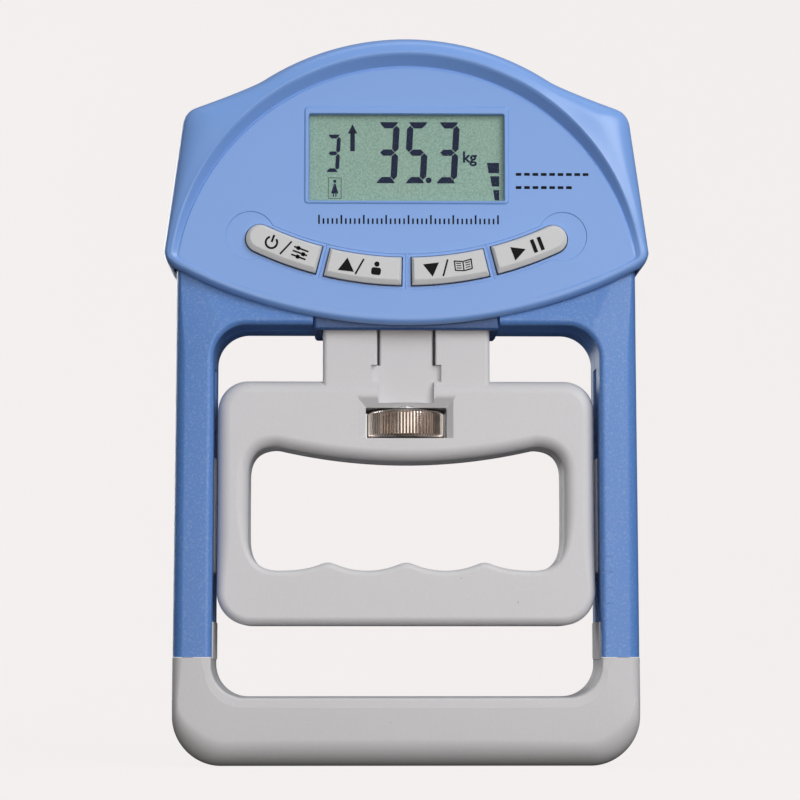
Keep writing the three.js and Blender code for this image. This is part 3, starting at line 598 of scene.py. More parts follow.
PRINT = plastic("printed_ink", linear(10, 10, 14), 0.5, grain=0.2, depth=0.004, cloud=0.2, specular=0.1)
SEGMENT = plastic("display_segments", linear(4, 22, 56), 0.5, grain=0.2, depth=0.002, cloud=0.1, specular=0.0)
RED = plastic("red_insulation", linear(170, 38, 32), 0.45, grain=0.4, depth=0.01, cloud=0.08)
BLACK_WIRE = plastic("black_insulation", linear(30, 30, 32), 0.45, grain=0.4, depth=0.01, cloud=0.15)
STEEL = metal("zinc_steel", linear(178, 180, 184), 0.34)
NICKEL = metal("nickel_plate", linear(200, 191, 184), 0.22, stretch=(1, 1, 5), grain=0.25, depth=0.006)
ALUMINIUM = metal("milled_aluminium", linear(200, 202, 205), 0.38, stretch=(8, 1, 1))
LCD = lcd_material("liquid_crystal_field")
WINDOW = window_material("clear_window")
BOARD = board_material("solder_mask")
BATTERY_FILM = battery_material("battery_film")
BATTERY_BAND = plastic("battery_band", linear(196, 138, 62), 0.3, grain=0.5, depth=0.004, cloud=0.06)
BY_SLOT = dict(
    gloss_blue=GLOSS_BLUE, satin_blue=SATIN_BLUE, grey_plastic=GREY, button_grey=BUTTON_GREY,
    clear_window=WINDOW, display=LCD, black_plastic=BLACK, circuit_board=BOARD, steel=STEEL, nickel=NICKEL,
    aluminium=ALUMINIUM, battery_skin=BATTERY_FILM, red_insulation=RED, black_insulation=BLACK_WIRE,
)


# ---- head covers

def head_outline():
    """The head seen from the front: an arched top, sloping shoulders, flanks and a bowed lower edge."""
    flank_low, flank_high = (63.6, 133.4), (59.1, 166.4)
    shoulder = (55.4, 171.9)
    low_pull, high_pull, slope_pull = (62.9, 129.6), (58.8, 170.7), (40.2, 177.5)
    arch = arc((0, HEAD_TOP - ARCH_RADIUS), ARCH_RADIUS, ARCH_END, 180 - ARCH_END, 60)
    lower = arc(LOWER_CENTRE, LOWER_RADIUS, 270 - LOWER_END, 270 + LOWER_END, 80)
    right = np.concatenate([
        bend(lower[-1], low_pull, flank_low),
        bend(flank_high, high_pull, shoulder),
        bend(shoulder, slope_pull, arch[0]),
    ])
    return joined(lower, right, arch, mirrored(right))


HEAD_ANGLES = np.linspace(0, 2 * np.pi, HEAD_POINTS, endpoint=False)
HEAD_RAYS = np.stack([np.cos(HEAD_ANGLES), np.sin(HEAD_ANGLES)], axis=1)


def head_skin(name, loops):
    """A skin over loops round the head, each a distance from its middle and a depth."""
    return layered(name, *[(HEAD_MIDDLE + HEAD_RAYS * distance[:, None], y) for distance, y in loops])


def head_wall(silhouette, ceiling, side):
    """A cover's wall, from under its ceiling to the parting line and round to its outside."""
    inner = silhouette - HEAD_WALL
    parting = side * PARTING
    return [(inner - 1, ceiling), (inner, ceiling - side), (inner, parting), (silhouette - 0.35, parting),
            (silhouette - 0.02, parting + side * 0.35)]


def frame_room(name):
    """The room in the head for the top of the frame."""
    half, bottom = ARM_OUTER + GAP, 90.0
    radius = FRAME_TOP_RADIUS - GAP
    end = math.degrees(math.asin(half / radius))
    top = arc(LOWER_CENTRE, radius, 270 + end, 270 - end, 60)
    outline = counter_clockwise(np.concatenate([[[-half, bottom], [half, bottom]], top]))
    return plate(name, outline, -FRAME_Y - GAP, FRAME_Y + GAP)


def button_outline(span, side, round_end, margin, lower_margin=None):
    """A button seen from the front, grown by a margin. A round end closes the outer ones."""
    inner = BUTTON_INNER - margin
    outer = BUTTON_OUTER + (margin if lower_margin is None else lower_margin)
    near = 270 + side * math.degrees(span[0] - margin / BUTTON_INNER)
    far = 270 + side * math.degrees(span[1] + (0 if round_end else margin / BUTTON_INNER))
    stretches = [arc(BUTTON_CENTRE, outer, near, far, 40)]
    if round_end:
        middle = (inner + outer) / 2
        turn = math.radians(far)
        centre = BUTTON_CENTRE + middle * np.array([math.cos(turn), math.sin(turn)])
        stretches.append(arc(centre, (outer - inner) / 2, far, far + side * 180, 24)[1:-1])
    stretches.append(arc(BUTTON_CENTRE, inner, far, near, 40))
    return counter_clockwise(joined(*stretches))


def display_border():
    """The low raised border around the display. It's widest above it."""
    left, right, bottom, top = glass_low[0], glass_high[0], glass_low[2], glass_high[2]
    rim = box_outline(left - BORDER_BESIDE, right + BORDER_BESIDE, bottom - BORDER_BELOW, top + BORDER_ABOVE,
                      1.0, 5)
    foot = inset(rim, -0.2)
    return layered("display_border", (foot, PANEL_Y + 0.3), (foot, PANEL_Y + 0.02),
                   (inset(rim, 0.2), PANEL_Y - BORDER_RISE + 0.02), (inset(rim, 0.35), PANEL_Y - BORDER_RISE))


def display_cutter():
    """The display's opening, with a thin bevel."""
    inner = face_outline(glass_low, glass_high, 0, 0.4, 4)
    mouth = inset(inner, -0.25)
    return layered("display_cutter", (mouth, PANEL_Y - 1), (mouth, PANEL_Y - BORDER_RISE),
                   (inner, PANEL_Y + 0.05), (inner, HEAD_CEILING + 1))


def recess(name, outline, depth):
    """A cutter for a shallow recess in the panel, with sloping sides."""
    mouth = inset(outline, -0.15)
    return layered(name, (mouth, PANEL_Y - 1), (mouth, PANEL_Y), (outline, PANEL_Y + depth))


def head_front():
    """The front cover: a skin from its inside, over its walls and crest, to the panel."""
    silhouette = polar(head_outline(), HEAD_MIDDLE, HEAD_ANGLES)
    lower = reach(HEAD_RAYS, HEAD_MIDDLE, LOWER_CENTRE, LOWER_RADIUS - LOWER_ROUND)
    crest = soft_min(reach(HEAD_RAYS, HEAD_MIDDLE, CREST_CENTRE, CREST_RADIUS), lower)
    panel = soft_min(reach(HEAD_RAYS, HEAD_MIDDLE, PANEL_CENTRE, PANEL_RADIUS), lower - 0.7)
    crest_height = HEAD_MIDDLE[1] + crest * HEAD_RAYS[:, 1]
    rise = CREST_LOW_RISE + (CREST_RISE - CREST_LOW_RISE) * smooth_step(crest_height, *CREST_ZONE)
    rise *= smooth_step(crest_height, *CREST_FADE_ZONE)
    groove = GROOVE_DEPTH * smooth_step(crest_height, *GROOVE_ZONE)
    crest_y = PANEL_Y - rise

    loops = head_wall(silhouette, HEAD_CEILING, -1)
    loops.append((silhouette, FRONT_WALL_TOP / 2))
    bead = BEAD_DROP * smooth_step(crest_height, *BEAD_ZONE) + 0.05
    start, start_y = crest + BEAD_WIDTH, crest_y + bead
    for angle in np.radians(np.arange(90, 3, -8)):
        distance = start + (silhouette - start) * math.sin(angle)
        loops.append((distance, start_y + (FRONT_WALL_TOP - start_y) * (1 - math.cos(angle))))
    fall = crest - panel
    drop = rise + groove
    loops += [
        (crest + 0.45 * BEAD_WIDTH, crest_y + 0.3 * bead),
        (crest, crest_y),
        (crest - 0.1 * fall, crest_y + 0.03 * drop),
        (crest - 0.3 * fall, crest_y + 0.2 * drop),
        (crest - 0.84 * fall, crest_y + 0.96 * drop),
        (crest - 0.94 * fall, crest_y + drop),
        (panel, crest_y + drop - 0.2 * groove),
        (panel - 0.22, PANEL_Y + 0.04),
        (panel - 0.5, PANEL_Y),
    ]
    cover = head_skin("head_front_cover", loops)
    tools = [frame_room("frame_room_front"), display_cutter()]
    for name, span, side, round_end in BUTTONS:
        border = button_outline(span, side, round_end, BUTTON_MARGIN)
        tools.append(recess(name + "_border", border, BUTTON_RECESS_DEPTH))
        hole = button_outline(span, side, round_end, GAP)
        tools.append(plate(name + "_hole", hole, PANEL_Y - 1, HEAD_CEILING + 1))
    for side in (-1, 1):
        outline = circle((side * ROUND_RECESS[0], ROUND_RECESS[1]), ROUND_RECESS_RADIUS, 72)
        tools.append(recess(f"round_recess_{side}", outline, ROUND_RECESS_DEPTH))
    join(cover, display_border())
    cut(cover, *tools)
    dress(cover, "frame", GLOSS_BLUE, ["head_cover_front"])


def head_back():
    """The back cover, with its doorway and screw recesses."""
    silhouette = polar(head_outline(), HEAD_MIDDLE, HEAD_ANGLES)
    loops = head_wall(silhouette, BACK_Y - 2, 1)
    for angle in np.radians(np.arange(0, 91, 10)):
        distance = silhouette - BACK_ROUND * (1 - math.cos(angle))
        loops.append((distance, BACK_Y - BACK_ROUND * (1 - math.sin(angle))))
    cover = head_skin("head_back_cover", loops)
    doorway = face_outline(door_low, door_high, DOOR_GAP, 1.7)
    cut(cover, frame_room("frame_room_back"), plate("doorway", doorway, BACK_Y - 4, BACK_Y + 1),
        *counterbores("head", 4))
    dress(cover, "frame", SATIN_BLUE, ["head_cover_back"])


# ---- screws

SCREW_HEAD_RADIUS = 2.4


def screw_place(node):
    """Where a screw's axis is, and how far back its head reaches."""
    low, high = extent(node)
    return (low[0] + high[0]) / 2, high[1], (low[2] + high[2]) / 2


def counterbore(node):
    """A cutter for the recess that a screw's head sits in, with a chamfered mouth."""
    x, head_back, z = screw_place(node)
    hole = circle((x, z), SCREW_HEAD_RADIUS + 0.35, 48)
    mouth = circle((x, z), SCREW_HEAD_RADIUS + 0.75, 48)
    face = head_back + (0.3 if node.startswith("head") else 1.1)
    if node.startswith("handle"):
        face = HANDLE_Y
    return layered(node + "_bore", (hole, head_back - 1.6), (hole, face - 0.4), (mouth, face),
                   (mouth, face + 3))


def counterbores(group, count):
    """The cutters for a group of screws, numbered from 1."""
    return [counterbore(f"{group}_screw_{k + 1}") for k in range(count)]


def back_half(front, name, group, count):
    """A front half's mirror copy, with recesses for a group of screws."""
    return cut(mirror_copy(front, name), *counterbores(group, count))


def screw_mesh():
    """A pan-head screw with a cross recess, its head's back at the origin and facing +Y."""
    ring = circle((0, 0), 1, 48)
    radius = SCREW_HEAD_RADIUS
    profile = [(0.01, -9), (1, -8.2), (1, -1.5), (radius - 0.1, -1.5), (radius, -1.4), (radius, -0.8),
               (radius - 0.15, -0.45), (radius - 0.5, -0.2), (radius - 1.1, -0.05), (0.01, 0)]
    screw = layered("screw_master", *[(ring * r, y) for r, y in profile])
    blades = []
    for name, turn in (("blade_a", 45), ("blade_b", 135)):
        c, s = math.cos(math.radians(turn)), math.sin(math.radians(turn))
        across = np.array([[c, s], [-s, c]])
        wide = corners((-1.45, 1.45), (-0.3, 0.3)) @ across
        blades.append(layered(name, (wide * 0.55, -1.1), (wide, 0.2)))
    cut(screw, *blades)
    mesh = screw.data
    bpy.data.objects.remove(screw)
    return mesh


def cross_screws():
    """The screws that close the shells. They share one mesh."""
    mesh = screw_mesh()
    for node, obj in sorted(frame["nodes"].items()):
        if "screw_" not in node or node.startswith(("load", "crosshead", "adjust")):
            continue
        screw = add(node + "_fine", mesh)
        screw.matrix_world = Matrix.Translation(Vector(screw_place(node)) * MM)
        dress(screw, obj["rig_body"], STEEL, [node])


# ---- frame ring and bottom grip

def frame_top(x):
    """The height of the frame's top edge under the head."""
    return LOWER_CENTRE[1] - np.sqrt(FRAME_TOP_RADIUS ** 2 - x ** 2)


def arm_side(z):
    """How far out the arms' outer side is. They are a little narrower at the top."""
    return ARM_OUTER - ARM_TAPER * smooth_step(z, JOINT_Z, 120)


def grip_stations():
    """Pairs of an outer and an inner point along the right half of the grip, from its middle to the joint."""
    pairs = []
    outer_flat = ARM_OUTER - GRIP_OUTER_CORNER
    inner_flat = ARM_INNER - GRIP_INNER_CORNER
    for t in np.linspace(0, 1, 24, endpoint=False):
        pairs.append(((outer_flat * t, 0), (inner_flat * t, GRIP_TOP)))
    outer_centre = (outer_flat, GRIP_OUTER_CORNER)
    inner_centre = (inner_flat, GRIP_TOP + GRIP_INNER_CORNER)
    outer = arc(outer_centre, GRIP_OUTER_CORNER, -90, 0, 32)
    inner = arc(inner_centre, GRIP_INNER_CORNER, -90, 0, 32)
    pairs += list(zip(outer, inner))
    for t in np.linspace(0, 1, 8)[1:]:
        height = JOINT_Z - PARTING
        pairs.append(((ARM_OUTER, GRIP_OUTER_CORNER + t * (height - GRIP_OUTER_CORNER)),
                      (ARM_INNER, inner_centre[1] + t * (height - inner_centre[1]))))
    return np.array(pairs, float)


def arm_stations():
    """The same along the right arm and the web, from the joint to the middle."""
    corner_z = WINDOW_TOP - WINDOW_CORNER
    pairs = []
    for z in np.linspace(JOINT_Z + PARTING, corner_z, 34, endpoint=False):
        pairs.append(((arm_side(z), z), (ARM_INNER, z)))
    inner_centre = (ARM_INNER - WINDOW_CORNER, corner_z)
    side = arm_side(120)
    for angle in np.linspace(0, 90, 32):
        inner = arc(inner_centre, WINDOW_CORNER, angle, angle, 1)[0]
        if angle < 45:
            outer = (side, corner_z + (frame_top(side) - corner_z) * angle / 45)
        else:
            x = side - (side - inner_centre[0]) * (angle - 45) / 45
            outer = (x, frame_top(x))
        pairs.append((outer, inner))
    for x in np.linspace(inner_centre[0], 0, 28)[1:]:
        pairs.append(((x, frame_top(x)), (x, WINDOW_TOP)))
    return np.array(pairs, float)


def whole_ring(half, closes_at_start):
    """The stations of both sides, from one end to the other."""
    other = half * [-1, 1]
    if closes_at_start:
        return np.concatenate([other[:0:-1], half])
    return np.concatenate([half, other[-2::-1]])


def shell_sections(stations, outer_round, inner_edge, tilt):
    """The cross-sections of a front half shell. It's hollow, with its walls about 2 mm thick."""
    sections = []
    for outer, inner in stations:
        across = inner - outer
        length = np.linalg.norm(across)
        across = across / length
        rounding = outer_round(outer)
        wall = max(2.4, 0.6 * rounding)
        profile = [(0.25, -PARTING), (0, -PARTING - 0.25)]
        for angle in np.radians(np.linspace(0, 90, 10)):
            profile.append((rounding * (1 - math.cos(angle)), -FRAME_Y + rounding * (1 - math.sin(angle))))
        profile += [(length - d, -FRAME_Y + y) for d, y in inner_edge]
        web = smooth_step(inner[1], WINDOW_TOP - 6, WINDOW_TOP)
        lean = tilt * (1 + 0.6 * web)
        rounded = 1 - FRAME_Y + rounding
        profile = [(d, y + lean * (1 - d / length) ** 2 * (y < rounded)) for d, y in profile]
        inside = length - SHELL_WALL
        profile += [(length, -PARTING - 0.25), (length - 0.25, -PARTING), (inside, -PARTING),
                    (inside, 2.4 - FRAME_Y), (wall, 3.4 - FRAME_Y + 0.3 * (wall - 2)), (wall, -PARTING)]
        sections.append([(outer[0] + across[0] * d, y, outer[1] + across[1] * d) for d, y in profile])
    return sections


def quarter_round(width, depth, count=7):
    """An edge's points, from the flat to the wall, as [distance from the wall, depth behind the face]."""
    angles = np.radians(np.linspace(90, 0, count))
    return [(width * (1 - math.cos(a)), depth * (1 - math.sin(a))) for a in angles]


def frame_shell():
    """The front shell of the arms and web, with the guides' slots and the collar's room."""
    stations = whole_ring(arm_stations(), False)
    edge = quarter_round(1.7, 1.5)
    shell = skin("frame_front", shell_sections(stations, lambda point: SHELL_ROUND, edge, ARM_TILT))
    tools = []
    for side in (-1, 1):
        x = sorted((side * (ARM_INNER - 1), side * (ARM_INNER + 2.6)))
        tools.append(brick(f"guide_slot_{side}", x, (-SLOT_HALF, SLOT_HALF), SLOT_Z))
    tools.append(brick("collar_room", (collar_low[0] - 0.1, collar_high[0] + 0.1), (-20, 20),
                       (110, collar_high[2] + 0.3)))
    return cut(shell, *tools)


def scale_grooves():
    """Cutters for the five engraved lines on the right arm, in turn long and short, 4 mm apart."""
    tools = []
    for k in range(5):
        z = SCALE_TOP - SCALE_PITCH * k
        length = SCALE_LENGTHS[k % 2]
        left = ARM_INNER + 0.5
        outline = box_outline(left, left + length, z - 0.16, z + 0.16, 0.1, 3)
        tools.append(plate(f"scale_line_{k}", outline, -FRAME_Y - 1, -FRAME_Y + 0.35))
    return tools


def grip_shell():
    """The front shell of the grip. Its outer edge is rounder towards the bottom."""
    def rounding(point):
        return SHELL_ROUND + 4.3 * smooth_step(16 - point[1], 0, 15)

    rim = [(2.7, 0), (2.5, 0.07), (2.3, 0.09), (0.75, 0.22), (0.4, 0.36), (0.12, 0.7), (0, 1.3)]
    sections = shell_sections(whole_ring(grip_stations(), True), rounding, rim, GRIP_TILT)
    return skin("grip_front", sections)


def grip_tongues():
    """Thin tongues of the grip that lap up inside the arms."""
    for side, name in ((-1, "grip_tongue_left"), (1, "grip_tongue_right")):
        outline = box_outline(-TONGUE_HALF, TONGUE_HALF, JOINT_Z - 0.6, JOINT_Z + TONGUE_RISE, 0.8, 5)
        x = (side * (ARM_INNER - 0.35), side * (ARM_INNER + 0.15))
        loops = [np.column_stack([np.full(len(o), at), o])
                 for o, at in ((inset(outline, 0.15), x[0]), (outline, x[0] + side * 0.15), (outline, x[1]))]
        dress(skin(name, loops), "frame", GRIP_GREY)


def frame_and_grip():
    """The frame's two shells and the grip's. Each back shell mirrors its front one."""
    shell = frame_shell()
    back = back_half(shell, "frame_back", "arm", 2)
    cut(shell, *scale_grooves())
    dress(shell, "frame", SATIN_BLUE, ["frame_front_shell"])
    dress(back, "frame", SATIN_BLUE, ["frame_back_shell"])
    grip = grip_shell()
    back = back_half(grip, "grip_back", "grip", 2)
    dress(grip, "frame", GRIP_GREY, ["bottom_grip_front"])
    dress(back, "frame", GRIP_GREY, ["bottom_grip_back"])
    grip_tongues()


def collar():
    """The insert around the handle's neck."""
    outer = box_outline(collar_low[0], collar_high[0], collar_low[1] + 0.5, collar_high[1], 1.0, 5)
    inner = bar(0, 0, NECK_HALF + GAP, NECK_Y + 2 * GAP, 1.0, 5)
    low, high = collar_low[2] + COLLAR_LIFT, collar_high[2]
    loops = [at_z(inset(outer, 0.5), low), at_z(outer, low + 0.5), at_z(outer, high), at_z(inner, high),
             at_z(inner, low + 0.4), at_z(inset(inner, -0.4), low)]
    # Its darker blue is painted shade for the head's shadow.
    dress(skin("neck_collar_fine", loops, closed=True), "frame", SHADED_COLLAR_BLUE, ["neck_collar"])


# ---- handle

def finger_hole():
    """The opening for four fingers, with a hollow for each in its lower edge."""
    side, valley, pitch = HOLE_HALF, FINGER_VALLEY, FINGER_PITCH
    shoulder_x, shoulder_z = HOLE_SHOULDER
    slope = 4 * (FINGER_CREST - valley) / pitch
    shore = FINGER_CREST - slope * CREST_HALF / 2  # where a crest's rounding begins

    def crest(x):
        return bend((x + CREST_HALF, shore), (x, shore + slope * CREST_HALF), (x - CREST_HALF, shore))

    def hollow(x):
        reach_out = pitch / 2 - CREST_HALF
        return bend((x + reach_out, shore), (x, shore - slope * reach_out), (x - reach_out, shore))

    corner = [bend((side, 59), (side, valley), (1.62 * pitch, valley)),
              bend((1.62 * pitch, valley), (pitch + CREST_HALF + (shore - valley) / slope, valley),
                   (pitch + CREST_HALF, shore))]
    lower = [*corner, crest(pitch), hollow(pitch / 2), crest(0), hollow(-pitch / 2), crest(-pitch),
             *[mirrored(stretch) for stretch in corner[::-1]]]
    upper = [bend((-side, 75.5), (-side, shoulder_z), (-shoulder_x, shoulder_z)),
             bend((-shoulder_x, shoulder_z), (0, 2 * HOLE_MIDDLE_TOP - shoulder_z),
                  (shoulder_x, shoulder_z), 40),
             bend((shoulder_x, shoulder_z), (side, shoulder_z), (side, 75.5))]
    return counter_clockwise(joined(*lower, *upper))


def handle_outline():
    half, bottom, top = HANDLE_HALF, HANDLE_BOTTOM, HANDLE_TOP
    low, high = HANDLE_BOTTOM_CORNER, HANDLE_TOP_CORNER
    return joined(arc((half - low, bottom + low), low, -90, 0, 24),
                  arc((half - high, top - high), high, 0, 90, 24),
                  arc((high - half, top - high), high, 90, 180, 24),
                  arc((low - half, bottom + low), low, 180, 270, 24))


def handle_bar():
    """The front half of the handle's ring."""
    angles = np.linspace(0, 2 * np.pi, 900, endpoint=False)
    rays = np.stack([np.cos(angles), np.sin(angles)], axis=1)
    outer, hole = [HANDLE_CENTRE + rays * polar(outline, HANDLE_CENTRE, angles)[:, None]
                   for outline in (handle_outline(), finger_hole())]
    outer_round = HANDLE_ROUND - 1.3 + 1.3 * smooth_step(outer[:, 1], 42, 60)
    hole_round = LOWER_HOLE_ROUND + (HOLE_ROUND - LOWER_HOLE_ROUND) * smooth_step(hole[:, 1], 53, 66)
    layers = [(inset(outer, 0.3), -PARTING), (outer, -PARTING - 0.3)]
    for outline, rounding, side, ends in ((outer, outer_round, 1, (0, 90)), (hole, hole_round, -1, (90, 0))):
        for angle in np.radians(np.linspace(*ends, 11)):
            layers.append((inset(outline, side * rounding * (1 - math.cos(angle))),
                           -HANDLE_Y + rounding * (1 - math.sin(angle))))
    layers += [(hole, -PARTING - 0.3), (inset(hole, -0.3), -PARTING)]
    return layered("handle_front_half", *layers, closed=True)


def front_half(left, right, front, radii):
    """A cross-section's front half in X and Y, with its two front corners rounded."""
    back = -PARTING - 0.02
    a, b = radii
    return joined(arc((left + a, front + a), a, 180, 270, 10), arc((right - b, front + b), b, 270, 360, 10),
                  np.array([[right, back], [left, back]]))


def neck_parts():
    """The neck's front half: a block, two prongs and a rib above it, and a wall behind the slits."""
    low, fork, front = HANDLE_TOP - 8, SLIT_BOTTOM - 1, -NECK_Y - 0.1
    parts = [
        column("neck_block", front_half(-NECK_HALF, NECK_HALF, front, (NECK_ROUND, NECK_ROUND)),
               low, SLIT_BOTTOM + 0.1),
        column("neck_rib", front_half(-RIB_HALF, RIB_HALF, -RIB_Y + 0.03, (0.7, 0.7)), fork, NECK_TOP),
        brick("neck_wall", (-15, 15), (-1.2, -PARTING - 0.04), (fork + 0.2, NECK_TOP - 0.5)),
    ]
    for side in (-1, 1):
        left, right = sorted((side * (RIB_HALF + SLIT), side * NECK_HALF))
        radii = (NECK_ROUND, 0.5)[::-side]
        outline = front_half(left, right, front, radii)
        parts.append(column(f"neck_prong_{side}", outline, fork + 0.1, NECK_TOP))
    return parts


def handle_cutters():
    """What is cut out of both handle halves."""
    half = KNOB_WINDOW_HALF
    low, high = KNOB_WINDOW_Z
    through = box_outline(-half, half, low, high, 0.3, 3)
    window = plate("knob_window", through, -20, 20)
    rim = corners((-half - 1.7, half + 1.7), (low, high + 2.1))
    seat = corners((-half, half), (low, high))
    bevel = layered("window_bevel", (rim, -HANDLE_Y - 1), (rim, -HANDLE_Y), (seat, WINDOW_BEVEL - HANDLE_Y))
    wide, narrow = RIB_HALF + 2.2, RIB_HALF + GAP
    pocket = brick("rib_pocket", (-wide, wide), (-20, -RIB_Y), (HANDLE_TOP - 0.3, SLIT_BOTTOM + 0.15))
    channel = brick("rib_channel", (-narrow, narrow), (-21, -RIB_Y - 0.02), (high + 1.2, HANDLE_TOP + 0.4))
    washer_high = extent("thrust_washer")[1]
    tube_high = extent("pull_tube")[1]
    screw_low, screw_high = extent("adjust_screw")
    bores = [
        column("washer_room", circle((0, 0), washer_high[0] + GAP), high - 1, washer_high[2] + GAP),
        column("tube_room", circle((0, 0), tube_high[0] + GAP), washer_high[2] - 0.5, NECK_TOP + 3),
        column("screw_room", circle((0, 0), screw_high[0] + GAP), screw_low[2] - 0.8, low + 2),
    ]
    return [window, bevel, pocket, channel, *bores]


def handle():
    """The handle's two halves. The back half mirrors the front one, and holds the screws' heads."""
    front = handle_bar()
    join(front, *neck_parts())
    cut(front, *handle_cutters())
    back = back_half(front, "handle_back_half", "handle", 4)
    dress(front, "handle", GREY, ["handle_front"])
    dress(back, "handle", GREY, ["handle_back"])


def guide_shoes():
    """The low-friction pads on the handle's sides, which run in the arms' slots."""
    for side in ("left", "right"):
        low, high = extent("guide_shoe_" + side)
        outline = face_outline(low, high, 0, 0.9)
        shoe = plate(f"guide_shoe_{side}_fine", outline, low[1], high[1], 0.5)
        dress(shoe, "handle", GREY, ["guide_shoe_" + side])


# ---- knob

KNOB_BORE = 3.2
KNURLS = 76
KNURL_DEPTH = 0.7
RIM_DROP = 0.9  # how much lower than in CAD the wheel's rim and its window reach


def knurled_knob():
    """A nickel wheel with straight knurling between two plain chamfers."""
    radius, bottom, top = knob_high[0], knob_low[2] - RIM_DROP, knob_high[2]
    turn = np.linspace(0, 2 * np.pi, KNURLS * 10, endpoint=False)
    ring = np.stack([np.cos(turn), np.sin(turn)], axis=1)
    phase = np.abs(((turn * KNURLS / (2 * np.pi)) % 1) * 2 - 1)
    tooth = np.clip((phase - 0.42) / 0.5, 0, 1)

    def loop(drawn_in, cut_share, z):
        return at_z(ring * (radius - drawn_in - KNURL_DEPTH * cut_share * tooth)[:, None], z)

    edge = [(1.2, 0, 0), (0.55, 0, 0.12), (0.4, 0.1, 0.3), (0.02, 1, 0.7), (0, 1, 1.0)]
    loops = [at_z(ring * KNOB_BORE, bottom)]
    loops += [loop(drawn_in, share, bottom + z) for drawn_in, share, z in edge]
    loops += [loop(drawn_in, share, top - z) for drawn_in, share, z in edge[::-1]]
    loops.append(at_z(ring * KNOB_BORE, top))
    dress(skin("knurled_wheel", loops, closed=True), "knob", NICKEL, ["adjust_knob"], sharp=40)


# ---- buttons and their symbols

SYMBOL_THICKNESS = 0.05
NARROW_BEVEL = 0.6
WIDE_BEVEL = 1.3


def button_caps():
    """The caps. Their lower edge has a wide bevel and the others a narrow one."""
    bevel = [(0, 0.75), (0.12, 0.55), (0.88, 0.1), (1.0, 0.03), (1.2, 0)]
    profile = [(0, BUTTON_BACK)] + [(share, BUTTON_FRONT + depth) for share, depth in bevel]
    for name, span, side, round_end in BUTTONS:
        layers = [(button_outline(span, side, round_end, -NARROW_BEVEL * share, -WIDE_BEVEL * share), y)
                  for share, y in profile]
        dress(layered(name + "_cap", *layers), name, BUTTON_GREY, [name])


def on_button(angle):
    """A place near the buttons' middle arc, and the matrix that turns a flat symbol to suit it."""
    radius = (BUTTON_INNER + BUTTON_OUTER) / 2 - 0.25
    turn = np.array([[math.cos(angle), math.sin(angle)], [-math.sin(angle), math.cos(angle)]])
    place = BUTTON_CENTRE + radius * np.array([math.sin(angle), -math.cos(angle)])
    return place, turn


def symbol(name, body, outlines, angle):
    """Flat printed shapes on a button cap, turned to follow the row of buttons."""
    place, turn = on_button(angle)
    flats = []
    for k, outline in enumerate(outlines):
        points = counter_clockwise(np.array(outline, float)) @ turn + place
        flats.append(plate(f"{name}_{k}", points, BUTTON_FRONT - SYMBOL_THICKNESS, BUTTON_FRONT + 0.02))
    dress(merge(flats, name), body, PRINT)


def merge(objects, name):
    """Several objects as one, with no boolean."""
    work = bmesh.new()
    for obj in objects:
        work.from_mesh(obj.data)
        bpy.data.objects.remove(obj)
    mesh = bpy.data.meshes.new(name)
    work.to_mesh(mesh)
    work.free()
    return add(name, mesh)


def stroke(points, width):
    """A line of constant width through points, as an outline."""
    points = np.array(points, float)
    along = np.gradient(points, axis=0)
    along /= np.linalg.norm(along, axis=1, keepdims=True)
    across = np.stack([-along[:, 1], along[:, 0]], axis=1) * width / 2
    return np.concatenate([points + across, (points - across)[::-1]])


def moved(shapes, across):
    return [np.array(shape, float) + [across, 0] for shape in shapes]


def book():
    """An open book: two outlined pages with three lines each."""
    shapes = [stroke([(0, -1.45), (0, 1.15)], 0.32)]
    for side in (-1, 1):
        spine, edge = side * 0.1, side * 2.2
        outline = ([(spine, -1.35), (edge, -1.0)], [(edge, 1.45), (spine, 1.1)], [(edge, -1.15), (edge, 1.6)])
        shapes += [stroke(line, 0.32) for line in outline]
        shapes += [stroke([(side * 0.55, z), (side * 1.8, z + 0.2)], 0.24) for z in (-0.6, 0.02, 0.64)]
    return shapes


def button_symbols():
    """Generic marks: standby and sliders, up and a person, down and an open book, and play."""
    power = [stroke(arc((0, 0), 1.5, 125, 415, 30), 0.55), stroke([(0, 0.1), (0, 2.1)], 0.55)]
    slash = [stroke([(-0.85, -2.1), (0.85, 2.1)], 0.45)]
    sliders = [bar(0, z, 2.0, 0.22, 0.1, 3) for z in (-1.1, 0, 1.1)]
    knobs = ((-0.8, 1.1), (0.9, 0), (-0.2, -1.1))
    sliders += [bar(x, z, 0.45, 0.52, 0.2, 4) for x, z in knobs]
    up = [(-2.1, -1.6), (2.1, -1.6), (0, 1.95)]
    down = [(-2.1, 1.6), (2.1, 1.6), (0, -1.95)]
    person = [circle((0, 1.2), 0.68, 24), box_outline(-1.25, 1.25, -1.65, 0.3, 0.6, 6)]
    play = [[(-4.1, -1.9), (-0.5, 0), (-4.1, 1.9)]]
    bars = [bar(x, 0, 0.5, 1.8, 0.1, 3) for x in (1.8, 3.7)]
    inner_middle = sum(INNER_SPAN) / 2
    outer_middle = sum(OUTER_SPAN) / 2 + 0.01
    marks = {
        "power": (-outer_middle, moved(power, -4.0) + slash + moved(sliders, 3.9)),
        "up": (-inner_middle, moved([up], -4.6) + moved(slash, -1.2) + moved(person, 3.2)),
        "down": (inner_middle, moved([down], -4.6) + moved(slash, -1.0) + moved(book(), 3.7)),
        "start": (outer_middle, play + bars),
    }
    for name, (angle, outlines) in marks.items():
        symbol("symbol_" + name, "button_" + name, outlines, angle)


# ---- display

SEGMENTS = {"3": "abcdg", "5": "acdfg"}
DIGIT_WIDTH = 5.75
DIGIT_STROKE = 1.68
SMALL_DIGIT_WIDTH = 3.6
SMALL_DIGIT_STROKE = 1.02
LCD_FRONT = cell_low[1] + 0.5
LCD_INK = 0.04
PANE_GAP = 0.02


